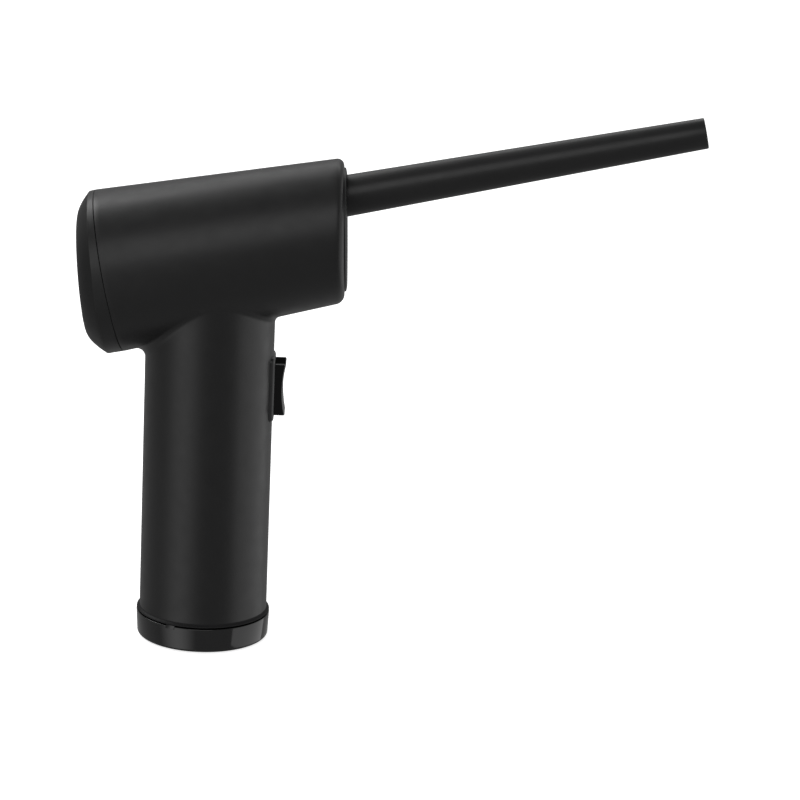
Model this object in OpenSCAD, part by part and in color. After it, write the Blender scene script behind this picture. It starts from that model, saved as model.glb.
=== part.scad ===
// Cordless car dryer blower: a tilted fan barrel on an upright battery handle,
// with a long pull-off nozzle, a pull-off intake cover and a three-position rocker.
//
// Frame: the origin is the centre of the foot's underside, on the handle's axis.
// +Z is up, +X is the way the air leaves, +Y is the left side.

/* [Handle] */
// Outside diameter of the handle
handle_d = 47; // [46:0.5:52]
// Wall thickness of the housing
wall = 2; // [1.6:0.1:2.2]
// Diameter of the flared lip at the handle's lower end
lip_d = 49; // [48.6:0.2:53]
// Height of the flare above the handle's lower end
lip_h = 1.9; // [1.5:0.1:4]
// Height of the barrel's axis above the battery pack, on the handle's axis
barrel_rise = 69.3; // [68:0.5:88]

/* [Base cap] */
// Outside diameter of the base cap
cap_d = 48.2; // [47.4:0.2:52]
// Height of the handle's lower end above the base
cap_h = 10; // [9:0.5:14]
// Thickness of the base cap's floor
cap_floor = 2; // [1.6:0.2:2.4]
// Height of the chamfer round the base cap's lower edge
cap_chamfer = 0.7; // [0.6:0.1:1.4]
// Width of the key that lines the cap up with the handle
key_w = 3.9; // [3:0.3:6]
// Diameter of the rubber foot
foot_d = 43; // [34:0.5:43]
// Thickness of the rubber foot
foot_t = 1.4; // [1:0.1:1.5]
// How far the foot stands out below the cap
foot_proud = 0.2; // [0.2:0.1:0.8]

/* [Barrel] */
// Upward tilt of the barrel, in degrees
barrel_tilt = 12.3; // [10:0.5:14]
// Outside diameter of the barrel at its rear seam
barrel_rear_d = 59.4; // [58:0.5:64]
// Outside diameter of the barrel at its front face
barrel_front_d = 51.6; // [51:0.4:56]
// Distance from the handle's axis back to the rear seam, along the barrel
barrel_rear = 37.7; // [36.5:0.5:46]
// Distance from the handle's axis forward to the front face, along the barrel
barrel_front = 48.6; // [48:0.5:54]
// Lean of the front face from square to the barrel, in degrees
front_lean = 10.1; // [6:0.5:11]
// Chamfer round the front face
front_chamfer = 1.7; // [1:0.1:2]
// Thickness of the front wall
front_wall = 2.4; // [1.8:0.2:2.6]
// Diameter of the raised front plate
plate_d = 44.8; // [44:0.4:46]
// How far the front plate stands proud
plate_t = 0.7; // [0.5:0.1:1.6]

/* [Rear cover] */
// Distance from the seam to the cover's rear edge, along the barrel's axis
cover_band = 5.3; // [5:0.2:8]
// Lean of the cover's rear face from square to the barrel, in degrees
rear_lean = 5.2; // [2:0.2:5.6]
// How much smaller the cover's rear edge is than the seam, in radius
cover_taper = 1.4; // [1:0.1:2.2]
// Width of the cover's rounded corner, from its edge in to the flat face
cover_round = 9.3; // [6.5:0.1:10]
// Depth of the cover's rounded rear corner
cover_dome = 4.7; // [4:0.1:6]
// Thickness of the cover's face
cover_wall = 1.8; // [1.4:0.1:2.2]
// Depth of the skirt that plugs into the barrel
skirt_len = 5; // [3:0.2:5.4]
// Thickness of that skirt
skirt_t = 1.5; // [1.2:0.1:2]
// Width of the intake slots
slot_w = 1.7; // [1.2:0.1:2]
// Number of slots in the outer ring, twice the number in the inner ring
slot_count = 24; // [16:2:26]

/* [Nozzle] */
// Distance of the nozzle's axis above the barrel's axis
nozzle_offset = 12.2; // [10:0.2:13]
// Outside diameter of the nozzle at its root
nozzle_root_d = 15; // [14.4:0.2:16]
// Outside diameter of the nozzle at its tip
nozzle_tip_d = 11.2; // [10.6:0.2:13]
// Length of the nozzle from the front face to the tip
nozzle_len = 132.1; // [80:0.5:200]
// Depth to which the nozzle goes into the front wall
nozzle_insert = 4.8; // [4.2:0.1:5]
// Diameter of the outlet bore at the tip
tip_bore_d = 8.8; // [7:0.2:9]
// Length of the straight outlet bore
tip_bore_len = 15; // [6:1:30]
// Outside diameter of the spigot that the nozzle slides over
spigot_d = 12.6; // [12:0.2:12.8]
// Length of that spigot
spigot_len = 14; // [10:0.5:20]
// Wall thickness of that spigot
spigot_wall = 1.5; // [1.3:0.1:2]

/* [Switch] */
// Height of the switch's middle above the battery pack
switch_rise = 19.8; // [17:0.2:22]
// Height of the switch bezel
bezel_h = 24; // [23:0.2:27]
// Width of the switch bezel
bezel_w = 14.4; // [14:0.2:16]
// Radius of the bezel's corners
bezel_corner = 2; // [1:0.2:3]
// How far the bezel's face stands out past the handle's surface
bezel_proud = 0.6; // [0.4:0.1:1.2]
// Thickness of the bezel
bezel_t = 1.9; // [1.6:0.1:2.2]
// Height of the rocker
rocker_h = 19.2; // [17:0.2:20]
// Width of the rocker
rocker_w = 9.8; // [8:0.2:10]
// How far the rocker's ends stand out past the handle's surface
rocker_proud = 4.4; // [3.6:0.1:5.4]
// Depth of the dish in the rocker's face
rocker_dish = 1.3; // [0.6:0.1:1.6]
// Depth of the switch body behind its bezel
switch_depth = 17; // [15:0.5:18]
// Wall thickness of the switch body
switch_wall = 1.4; // [1.2:0.1:1.5]
// Diameter of the rocker's pivot pin
pivot_d = 2; // [1.6:0.1:2.4]

/* [Battery] */
// Diameter of a battery cell
cell_d = 18.3; // [17.5:0.1:18.4]
// Length of a battery cell
cell_len = 65; // [60:0.5:66]
// Gap between neighbouring cells
cell_gap = 0.3; // [0.2:0.1:0.4]
// Height of the lower and upper cell holders
holder_h = 5; // [3:0.5:8]
// Thickness of the nickel straps
strap_t = 0.3; // [0.15:0.05:0.4]
// Thickness of the circuit boards
board_t = 1.6; // [1:0.2:1.6]
// Thickness of the foam pad under the cells
pad_t = 4.5; // [3.5:0.1:5.5]

/* [Fan and motor] */
// Room for the rubber mounts between the fan duct and the barrel's wall, at the motor
mount_t = 3.9; // [3.6:0.1:4.8]
// Number of impeller blades
blade_count = 9; // [5:1:11]
// Pitch of the impeller blades, in degrees from the fan's axis
blade_pitch = 38; // [30:1:45]
// Thickness of the impeller blades
blade_t = 1.2; // [0.8:0.1:1.4]
// Radial gap between the blades and the duct
tip_gap = 0.5; // [0.4:0.1:0.6]
// Wall thickness of the fan duct and the outlet duct
duct_wall = 1.4; // [1:0.1:1.5]
// Number of stator vanes
vane_count = 7; // [5:1:11]
// Thickness of the stator vanes
vane_t = 1.3; // [1:0.1:1.6]
// Diameter of the motor can
motor_d = 25.4; // [24:0.2:26]
// Length of the motor can
motor_len = 26; // [24:0.5:28]
// Diameter of the motor shaft
shaft_d = 3; // [2:0.1:3.2]
// Diameter of the rotor magnet
magnet_d = 12.6; // [10:0.2:13]
// Number of stator teeth in the motor
tooth_count = 9; // [6:3:9]
// Diameter of the insulated wires
wire_d = 1.5; // [1:0.1:1.8]

/* [Hidden] */
$fn = 96;

// Clearances: a sliding fit, a running fit (also for glued joints), a visible seam and a loose gap
slide_gap = 0.1;
run_gap = 0.05;
seam = 0.35;
loose = 0.3;
// A cut reaches this far past the faces it goes through
over = 1;
black = [0.1, 0.1, 0.11];
gloss_black = [0.05, 0.05, 0.055];

// ---- Handle ----
handle_r = handle_d / 2;
handle_ir = handle_r - wall;
cap_r = cap_d / 2;
cap_base = foot_proud;              // the cap's underside, with the rest of the foot let into it
cap_top = cap_h - seam;
lip_edge = 0.8;                     // the straight edge below the lip's flare
collar_h = 4;                       // the cap's collar inside the handle
collar_t = 1.2;
key_angle = -114.5;                 // where the key sits round the cap
collar_r = handle_ir - slide_gap;

// ---- Battery pack: three upright cells in a triangle ----
cell_ring = (cell_d + cell_gap) / 2 / cos(30);
holder_floor = 1;
cell_z = cap_base + cap_floor + pad_t + holder_floor;
cell_top = cell_z + cell_len;
holder_r = collar_r - collar_t - slide_gap;
upper_holder_r = handle_ir - 0.2;
holder_bore = cell_d / 2 + run_gap;
pack_board_z = cell_top + strap_t + 1.6;
pack_board_r = handle_ir - 0.5;
pack_top = pack_board_z + board_t;
barrel_z = pack_top + barrel_rise;
switch_z = pack_top + switch_rise;
stop_h = 3;
stop_w = 4;
stop_reach = 1.5;                   // how far the stops reach over the pack's board
strap_w = 7;
post_r = 1.1;
post_angle = 54;

// ---- Screws through the base cap, between the cells ----
boss_r = 2.8;
boss_ring = handle_ir - 2.2;
boss_len = 14;
base_screw_r = 1.1;
base_screw_len = 20;
base_thread_r = base_screw_r - 0.1;
screw_head_r = 2.1;
screw_head_h = 1.4;
screw_seat_z = foot_t + run_gap;     // the heads' lower faces, just above the foot

// ---- Barrel ----
rear_r = barrel_rear_d / 2;
front_r = barrel_front_d / 2;
function barrel_r(u) = rear_r + (front_r - rear_r) * (u + barrel_rear) / (barrel_front + barrel_rear);
plate_bevel = 0.4;
front_rise = tan(front_lean);       // the front face goes this far forward for each mm up
nozzle_root_u = barrel_front + front_rise * nozzle_offset;
nozzle_tip_u = nozzle_root_u + nozzle_len;
nozzle_back_u = nozzle_root_u - nozzle_insert;
nozzle_root_r = nozzle_root_d / 2;
socket_r = nozzle_root_r + slide_gap;
spigot_r = spigot_d / 2;
spigot_end_u = nozzle_back_u + spigot_len;
nozzle_bore_r = spigot_r + slide_gap;
seal_r = 0.38;
seal_ring = nozzle_bore_r - run_gap - seal_r;
seal_u = spigot_end_u - 4;

// ---- Rear cover ----
cover_u = -barrel_rear - cover_band;
cover_edge_r = rear_r - cover_taper;
cover_face_r = cover_edge_r - cover_round;
corner_start = 55;                  // the angle at which the rounded corner begins
loft_t = 0.02;                      // thickness of the discs that a loft runs between
skirt_r = barrel_r(-barrel_rear + skirt_len) - wall - loose;
skirt_ir = skirt_r - skirt_t;
filter_r = cover_edge_r - 4.8;
filter_z = -cover_dome + cover_wall;
filter_t = 2.9;
frame_t = 2;
frame_arm = 1.4;
frame_hub_r = 4;

// ---- Fan, placed along the barrel's axis ----
shroud_back = -barrel_rear + skirt_len + 2;
shroud_flange_t = 1.6;
guard_t = 1.5;
guard_bar = 1.2;
guard_screw_r = 0.85;
impeller_back = shroud_back + 5;    // the end of the hub that faces the intake
impeller_len = 13;
motor_r = motor_d / 2;
motor_back = impeller_back + impeller_len + 2.6;
motor_front = motor_back + motor_len;
duct_r = barrel_r((motor_back + motor_front) / 2) - wall - mount_t;
duct_ir = duct_r - duct_wall;
impeller_r = duct_ir - tip_gap;
shroud_flange_r = duct_r + 2.4;
hub_r = motor_r + 1.4;
hub_ir = motor_r + 0.03;
hub_len = 20;
vane_lean = 14;
mount_len = 5;
shroud_front = motor_front - 2;
shaft_r = shaft_d / 2;
bearing_r = 4;
bearing_h = 3;
can_wall = 1;
endbell_t = 2;
duct_collar_len = 5;
duct_collar_ir = duct_r + run_gap;
duct_collar_r = duct_collar_ir + 1.2;
neck_r = spigot_r + 3;
neck_back_u = nozzle_back_u - 5;
neck_wall = 1.6;
wire_hole_u = motor_front + 1.5;
wire_hole_r = 3;
tooth_w = 1.8;
shoe_w = 3.6;
yoke_t = 1.4;
core_r = motor_r - can_wall - 0.05;
core_ir = magnet_d / 2 + 0.6;
core_u = motor_back + 7;
core_len = 12;

// ---- Switch ----
bezel_face = handle_r + bezel_proud;
bezel_back = bezel_face - bezel_t;
rocker_gap = 0.25;
switch_open_h = rocker_h + 1.2;
switch_open_w = rocker_w + 2 * rocker_gap;
switch_body_h = switch_open_h + 1.2;
switch_body_w = switch_open_w + 2 * switch_wall;
switch_back = bezel_back - switch_depth;
rocker_face = handle_r + rocker_proud;
rocker_dish_r = (pow(rocker_h / 2, 2) + pow(rocker_dish, 2)) / (2 * rocker_dish);
pivot_x = bezel_back - 1.4;
pivot_r = pivot_d / 2;
rocker_depth = 5;
terminal_pitch = 6.4;
terminal_len = 6;
terminal_w = 4.8;
terminal_t = 0.8;

// ---- Control board, on the handle's middle plane behind the switch ----
port_h = 8.94;
port_w = 3.26;
port_len = 7.3;
port_z = switch_z - 0.5;
port_inset = 0.4;
board_y = -port_w / 2 - board_t;
board_back = -handle_ir + 0.7;
board_front = switch_back - 9;
board_z = pack_top + stop_h + 3;
board_h = 29;
rail_t = 1.2;
rail_len = 3;
rail_reach = 2.6;
lens_z = port_z + 9;
lens_r = 1.2;
reach = 2 * barrel_rear_d;          // long enough to run right through the barrel

// ---- Frames and shared shapes ----

// Puts its children on the barrel's axis: local +Z runs forward, local +X runs down
module in_barrel(u = 0, up = 0)
    translate([0, 0, barrel_z]) rotate([0, 90 - barrel_tilt, 0]) translate([-up, 0, u]) children();

// The front face's frame: local +Z is its outward normal
module at_front(z = 0)
    in_barrel(barrel_front) rotate([0, front_lean, 0]) translate([0, 0, z]) children();

// The frame of the rear cover's leaning edge: local +Z runs forward
module at_rear(z = 0)
    in_barrel(cover_u) rotate([0, rear_lean, 0]) translate([0, 0, z]) children();

module ring(h, r_out, r_in)
    difference() {
        cylinder(h = h, r = r_out);
        translate([0, 0, -over]) cylinder(h = h + 2 * over, r = r_in);
    }

module around(count, start = 0)
    for (i = [0:count - 1]) rotate([0, 0, start + 360 / count * i]) children();

// A box given by its middle in Y and Z and its ends in X
module box_x(x0, x1, w, h, z) translate([x0, -w / 2, z - h / 2]) cube([x1 - x0, w, h]);

// A plate square to X with rounded corners, at the switch's height
module bezel_plate(x0, x1, w, h) {
    r = bezel_corner;
    box_x(x0, x1, w - 2 * r, h, switch_z);
    box_x(x0, x1, w, h - 2 * r, switch_z);
    for (y = [-1, 1] * (w / 2 - r), z = [-1, 1] * (h / 2 - r))
        translate([x0, y, switch_z + z]) rotate([0, 90, 0]) cylinder(h = x1 - x0, r = r);
}

// The places of the three cells, and of the three screws between them
module cell_places() around(3, 90) translate([cell_ring, 0, 0]) children();
module screw_places() around(3, 30) translate([boss_ring, 0, 0]) children();

// A round tube along a list of points, with the frame of each ring square to the way it runs
function unit(v) = v / norm(v);
function run_dir(p, i) = unit(p[min(i + 1, len(p) - 1)] - p[max(i - 1, 0)]);
function side_of(d) = unit(cross(d, abs(d[1]) > 0.9 ? [1, 0, 0] : [0, 1, 0]));
module wire(p, r = wire_d / 2, sides = 8) {
    rings = len(p);
    points = [for (i = [0:rings - 1]) let (d = run_dir(p, i), a = side_of(d), b = cross(d, a))
        for (k = [0:sides - 1]) p[i] + r * (cos(360 * k / sides) * a + sin(360 * k / sides) * b)];
    lower = [for (i = [0:rings - 2], k = [0:sides - 1]) let (n = (k + 1) % sides)
        [(i + 1) * sides + n, i * sides + n, i * sides + k]];
    upper = [for (i = [0:rings - 2], k = [0:sides - 1]) let (n = (k + 1) % sides)
        [(i + 1) * sides + k, (i + 1) * sides + n, i * sides + k]];
    first_cap = [for (k = [0:sides - 1]) k];
    last_cap = [for (k = [0:sides - 1]) rings * sides - 1 - k];
    polyhedron(points, concat(lower, upper, [first_cap, last_cap]));
}

// ---- Housing ----

// The barrel's outer cone, cut off and chamfered at the leaning front face
module barrel_outer()
    intersection() {
        in_barrel(-barrel_rear)
            cylinder(h = barrel_front + barrel_rear + 8, r1 = rear_r, r2 = barrel_r(barrel_front + 8));
        at_front(-reach)
            cylinder(h = reach, r1 = front_r - front_chamfer + reach, r2 = front_r - front_chamfer);
    }

// The room inside the barrel, up to the front wall's inner face
module barrel_inner()
    intersection() {
        in_barrel(-barrel_rear - over)
            cylinder(h = barrel_front + barrel_rear + 8, r1 = barrel_r(-barrel_rear - over) - wall,
                     r2 = barrel_r(barrel_front + 8 - over) - wall);
        at_front(-front_wall - reach) cylinder(h = reach, r = 2 * rear_r);
    }

// The hole that the nozzle sits in
module nozzle_socket() in_barrel(nozzle_back_u - 6, nozzle_offset) cylinder(h = 24, r = socket_r);

// The barrel's shell, with a round opening down into the handle
module barrel_shell()
    color(black) difference() {
        barrel_outer();
        barrel_inner();
        cylinder(h = barrel_z, r = handle_ir);
        nozzle_socket();
    }

// The handle's shell, whose saddle-shaped top is glued to the barrel
module handle_shell()
    color(black) difference() {
        union() {
            difference() {
                union() {
                    translate([0, 0, cap_h]) cylinder(h = barrel_z - cap_h, r = handle_r);
                    translate([0, 0, cap_h]) cylinder(h = lip_edge, r = lip_d / 2);
                    translate([0, 0, cap_h + lip_edge])
                        cylinder(h = lip_h - lip_edge, r1 = lip_d / 2, r2 = handle_r);
                }
                translate([0, 0, cap_h - over]) cylinder(h = barrel_z, r = handle_ir);
                in_barrel(-barrel_rear - over)
                    cylinder(h = barrel_front + barrel_rear + 2 * over,
                             r1 = barrel_r(-barrel_rear - over) + run_gap,
                             r2 = barrel_r(barrel_front + over) + run_gap);
            }
            // Screw bosses at the lower end, above the cap's collar
            intersection() {
                translate([0, 0, cap_top + collar_h + loose]) screw_places() cylinder(h = boss_len, r = boss_r);
                cylinder(h = barrel_z, r = handle_r - wall / 2);
            }
            // Stops above the battery pack
            intersection() {
                around(3, 30) translate([pack_board_r - stop_reach, -stop_w / 2, pack_top + slide_gap])
                    cube([stop_reach + wall, stop_w, stop_h]);
                cylinder(h = barrel_z, r = handle_r - wall / 2);
            }
            // Rails that hold the control board's rear edge
            intersection() {
                for (z = [board_z + 1, board_z + board_h - rail_len - 1],
                     y = [board_y - rail_t - run_gap, board_y + board_t + run_gap])
                    translate([-handle_r, y, z]) cube([wall + rail_reach, rail_t, rail_len]);
                cylinder(h = barrel_z, r = handle_r - wall / 2);
            }
        }
        // Pilot holes in the bosses
        translate([0, 0, cap_h]) screw_places() cylinder(h = collar_h + boss_len - 2, r = base_thread_r);
        // Recess for the bezel and hole for the switch body
        bezel_plate(bezel_back, handle_r + over, bezel_w + 2 * slide_gap, bezel_h + 2 * slide_gap);
        box_x(handle_ir - 6, handle_r + over, switch_body_w + 2 * slide_gap, switch_body_h + 2 * slide_gap,
              switch_z);
        // Charging port and indicator
        box_x(-handle_r - over, -handle_ir + over, port_w + loose, port_h + loose, port_z);
        translate([-handle_r - over, 0, lens_z]) rotate([0, 90, 0])
            cylinder(h = wall + 2 * over, r = lens_r + run_gap);
    }

module front_plate()
    color(black) difference() {
        union() {
            at_front() cylinder(h = plate_t - plate_bevel, r = plate_d / 2);
            at_front(plate_t - plate_bevel)
                cylinder(h = plate_bevel, r1 = plate_d / 2, r2 = plate_d / 2 - plate_bevel);
        }
        nozzle_socket();
    }

// ---- Base ----

module base_cap()
    color(gloss_black) difference() {
        union() {
            translate([0, 0, cap_base]) cylinder(h = cap_chamfer, r1 = cap_r - cap_chamfer, r2 = cap_r);
            translate([0, 0, cap_base + cap_chamfer]) cylinder(h = cap_top - cap_base - cap_chamfer, r = cap_r);
            translate([0, 0, cap_top - over]) cylinder(h = collar_h + over, r = collar_r);
            // Key that fills the seam below the handle's lip
            rotate([0, 0, key_angle]) translate([handle_r, -key_w / 2, cap_top - over])
                cube([cap_r - handle_r + slide_gap, key_w, over + seam - run_gap]);
        }
        difference() {
            translate([0, 0, cap_base + cap_floor]) cylinder(h = cap_h + collar_h, r = collar_r - collar_t);
            screw_places() cylinder(h = cap_h + collar_h + over, r = boss_r);
        }
        // Recess for the foot
        translate([0, 0, -over]) cylinder(h = foot_t + over, r = foot_d / 2 + slide_gap);
        // Screw holes with sunk heads
        screw_places() {
            translate([0, 0, -over]) cylinder(h = cap_h + collar_h + over, r = base_screw_r + slide_gap);
            translate([0, 0, -over])
                cylinder(h = screw_seat_z + screw_head_h + over, r = screw_head_r + slide_gap);
        }
    }

module foot_pad() color([0.06, 0.06, 0.06]) cylinder(h = foot_t, r = foot_d / 2);

module base_screws()
    color("silver") screw_places() difference() {
        union() {
            translate([0, 0, screw_seat_z]) cylinder(h = screw_head_h, r = screw_head_r);
            translate([0, 0, screw_seat_z]) cylinder(h = base_screw_len, r = base_thread_r);
        }
        translate([0, 0, screw_seat_z - over]) cylinder(h = over + 0.8, r = 1, $fn = 6);
    }

// ---- Rear cover and filter ----

// Outline of the cover: the seam's circle, the leaning edge and the rounded corner behind it
module cover_outline()
    hull() {
        in_barrel(-barrel_rear - seam - loft_t) cylinder(h = loft_t, r = rear_r, $fn = 48);
        for (t = [corner_start:7:90])
            at_rear(-cover_dome * (sin(t) - sin(corner_start)) / (1 - sin(corner_start)))
                cylinder(h = loft_t, $fn = 48,
                         r = cover_face_r + (cover_edge_r - cover_face_r) * cos(t) / cos(corner_start));
    }

module slot(r0, r1, w) {
    translate([r0, -w / 2, 0]) cube([r1 - r0, w, 8]);
    translate([r0, 0, 0]) cylinder(h = 8, r = w / 2);
    translate([r1, 0, 0]) cylinder(h = 8, r = w / 2);
}

module rear_cover()
    color(black) difference() {
        union() {
            cover_outline();
            in_barrel(-barrel_rear - 2) ring(skirt_len + 2, skirt_r, skirt_ir);
        }
        in_barrel(-barrel_rear - 3.4) cylinder(h = 3.4 + skirt_len + over, r = skirt_ir);
        at_rear(filter_z) cylinder(h = 9, r = filter_r + slide_gap);
        at_rear(-cover_dome - over) {
            around(slot_count) slot(cover_face_r * 0.64, cover_face_r - 1.6, slot_w);
            around(slot_count / 2) slot(cover_face_r * 0.26, cover_face_r * 0.52, slot_w);
        }
    }

module intake_filter()
    color([0.2, 0.2, 0.21]) at_rear(filter_z + run_gap) cylinder(h = filter_t, r = filter_r);

module filter_frame()
    color([0.14, 0.14, 0.15]) at_rear(filter_z + filter_t + 2 * run_gap) {
        ring(frame_t, filter_r + run_gap, filter_r - 1.8);
        difference() {
            union() {
                around(4, 45) translate([0, -frame_arm / 2, 0]) cube([filter_r - 1, frame_arm, frame_t]);
                cylinder(h = frame_t, r = frame_hub_r);
            }
            translate([0, 0, -over]) cylinder(h = frame_t + 2 * over, r = frame_hub_r - 1.6);
        }
    }

// ---- Fan unit ----

module guard_screw_places() around(3, 60) translate([duct_r + 0.6, 0, 0]) children();

module intake_guard()
    color([0.12, 0.12, 0.13]) in_barrel(shroud_back - guard_t) difference() {
        union() {
            ring(guard_t, shroud_flange_r, duct_ir - 0.6);
            for (r = [0.3, 0.51, 0.73] * duct_ir) ring(guard_t, r + guard_bar / 2, r - guard_bar / 2);
            around(6) translate([0.28 * duct_ir, -guard_bar / 2, 0]) cube([0.74 * duct_ir, guard_bar, guard_t]);
        }
        guard_screw_places() translate([0, 0, -over])
            cylinder(h = guard_t + 2 * over, r = guard_screw_r + slide_gap);
    }

module guard_screws()
    color("silver") in_barrel(shroud_back - guard_t) guard_screw_places() {
        translate([0, 0, -0.9]) cylinder(h = 0.9, r = 2 * guard_screw_r);
        translate([0, 0, -0.5]) cylinder(h = guard_t + shroud_flange_t, r = guard_screw_r);
    }

module fan_shroud()
    color([0.16, 0.16, 0.17]) in_barrel() difference() {
        union() {
            translate([0, 0, shroud_back]) ring(shroud_front - shroud_back, duct_r, duct_ir);
            translate([0, 0, shroud_back]) ring(shroud_flange_t, shroud_flange_r, duct_ir);
            translate([0, 0, motor_back - 0.6]) ring(hub_len, hub_r, hub_ir);
            // Straightening vanes between the motor's sleeve and the duct
            intersection() {
                around(vane_count, 20) translate([(hub_r + duct_r) / 2, 0, motor_back + hub_len / 2])
                    rotate([vane_lean, 0, 0]) cube([duct_r - hub_r + 1, vane_t, hub_len - 4], center = true);
                translate([0, 0, motor_back]) ring(hub_len - 2, duct_ir + 0.3, hub_r - 0.3);
            }
        }
        translate([0, 0, shroud_back]) guard_screw_places() translate([0, 0, -over])
            cylinder(h = shroud_flange_t + 3 * over, r = guard_screw_r + 0.02);
    }

// Rubber ring that fills the space between a round part and the barrel's wall
module mount_ring(u, length, r_in)
    in_barrel(u) difference() {
        cylinder(h = length, r1 = barrel_r(u) - wall - run_gap, r2 = barrel_r(u + length) - wall - run_gap);
        translate([0, 0, -over]) cylinder(h = length + 2 * over, r = r_in + run_gap);
    }

module rear_mount()
    color([0.08, 0.08, 0.08]) mount_ring(shroud_back + shroud_flange_t + slide_gap, mount_len, duct_r);

module front_mount()
    color([0.08, 0.08, 0.08]) mount_ring(shroud_front - duct_collar_len, mount_len - 0.5, duct_collar_r);

module impeller()
    color([0.75, 0.75, 0.77]) in_barrel(impeller_back) difference() {
        union() {
            cylinder(h = impeller_len, r1 = hub_r - 3.5, r2 = hub_r - 0.4);
            translate([0, 0, -3]) cylinder(h = 3, r1 = 4.5, r2 = hub_r - 3.5);
            intersection() {
                around(blade_count) translate([hub_r - 3, 0, impeller_len / 2 - 0.4])
                    rotate([blade_pitch, 0, 0]) translate([0, -blade_t / 2, -impeller_len])
                        cube([impeller_r, blade_t, 2 * impeller_len]);
                ring(impeller_len - 1, impeller_r, hub_r - 4);
            }
        }
        translate([0, 0, -4]) cylinder(h = impeller_len + 5, r = shaft_r + 0.02);
    }

module motor_shaft()
    color("silver") in_barrel(impeller_back - 2) cylinder(h = motor_front - impeller_back + 0.8, r = shaft_r);

module rotor_magnet()
    color([0.35, 0.35, 0.37]) in_barrel(motor_back + 7) ring(12, magnet_d / 2, shaft_r + 0.02);

module motor_can()
    color([0.6, 0.6, 0.62]) in_barrel() difference() {
        union() {
            translate([0, 0, motor_back + endbell_t]) ring(motor_len - endbell_t, motor_r, motor_r - can_wall);
            translate([0, 0, motor_front - 0.9]) cylinder(h = 0.9, r = motor_r - can_wall / 2);
            translate([0, 0, motor_front - 0.9 - bearing_h])
                ring(bearing_h + 0.5, bearing_r + 1.2, bearing_r + 0.02);
        }
        // Hole for the leads
        translate([8.2, 0, motor_front - 3]) cylinder(h = 5, r = 2.4);
    }

module motor_endbell()
    color([0.55, 0.55, 0.57]) in_barrel(motor_back) difference() {
        union() {
            cylinder(h = endbell_t, r = motor_r);
            cylinder(h = bearing_h + 1, r = bearing_r + 1.2);
            translate([0, 0, endbell_t - 0.2])
                ring(1.2, motor_r - can_wall - run_gap, motor_r - can_wall - 1.2);
        }
        translate([0, 0, 0.8]) cylinder(h = bearing_h + over, r = bearing_r + 0.02);
        translate([0, 0, -over]) cylinder(h = bearing_h + 3 * over, r = shaft_r + 0.8);
    }

module motor_bearings()
    color([0.7, 0.7, 0.72]) in_barrel() for (u = [motor_back + 0.85, motor_front - 0.95 - bearing_h])
        translate([0, 0, u]) ring(bearing_h, bearing_r, shaft_r + 0.04);

// ---- Motor stator ----

module teeth(w, r0, r1, h, z) around(tooth_count) translate([r0, -w / 2, z]) cube([r1 - r0, w, h]);

module stator_core()
    color([0.4, 0.4, 0.42]) in_barrel(core_u) {
        ring(core_len, core_r, core_r - yoke_t);
        intersection() {
            union() {
                teeth(tooth_w, core_ir - 1, core_r - 0.5, core_len, 0);
                teeth(shoe_w, core_ir - 1, core_ir + 0.6, core_len, 0);
            }
            ring(core_len, core_r - 0.5, core_ir);
        }
    }

module motor_windings()
    color([0.72, 0.42, 0.2]) in_barrel(core_u) difference() {
        teeth(shoe_w, core_ir + 0.7, core_r - yoke_t - 0.3, core_len + 2.4, -1.2);
        teeth(tooth_w + 0.06, core_ir - 1, core_r, core_len + 0.06, -0.03);
    }

// ---- Outlet ----

module outlet_duct()
    color([0.16, 0.16, 0.17]) difference() {
        union() {
            in_barrel(shroud_front - duct_collar_len) cylinder(h = duct_collar_len + 1, r = duct_collar_r);
            hull() {
                in_barrel(shroud_front + 0.5) cylinder(h = loft_t, r = duct_collar_r - 0.05, $fn = 48);
                in_barrel(neck_back_u, nozzle_offset) cylinder(h = loft_t, r = neck_r - 0.05, $fn = 48);
            }
            in_barrel(neck_back_u - 0.5, nozzle_offset)
                cylinder(h = nozzle_back_u - loose - neck_back_u + 0.5, r = neck_r);
            in_barrel(neck_back_u, nozzle_offset) cylinder(h = spigot_end_u - neck_back_u, r = spigot_r);
        }
        in_barrel(shroud_front - duct_collar_len - over)
            cylinder(h = duct_collar_len + over, r = duct_collar_ir);
        hull() {
            in_barrel(shroud_front - 0.5) cylinder(h = loft_t, r = duct_ir, $fn = 48);
            in_barrel(neck_back_u - 1, nozzle_offset)
                cylinder(h = loft_t, r = neck_r - neck_wall - 0.4, $fn = 48);
        }
        in_barrel(neck_back_u - 1.5, nozzle_offset)
            cylinder(h = 5.5, r1 = neck_r - neck_wall, r2 = spigot_r - spigot_wall);
        in_barrel(neck_back_u + 3.9, nozzle_offset) cylinder(h = reach, r = spigot_r - spigot_wall);
        // Groove for the seal
        in_barrel(seal_u - seal_r - 0.05, nozzle_offset)
            ring(2 * seal_r + 0.1, spigot_r + 1, seal_ring - seal_r - 0.02);
        // Hole for the motor's leads
        in_barrel(wire_hole_u) translate([14, 0, 0]) rotate([0, 90, 0]) cylinder(h = 14, r = wire_hole_r);
    }

module outlet_seal()
    color([0.55, 0.12, 0.1]) in_barrel(seal_u, nozzle_offset)
        rotate_extrude() translate([seal_ring, 0]) circle(r = seal_r, $fn = 24);

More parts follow.
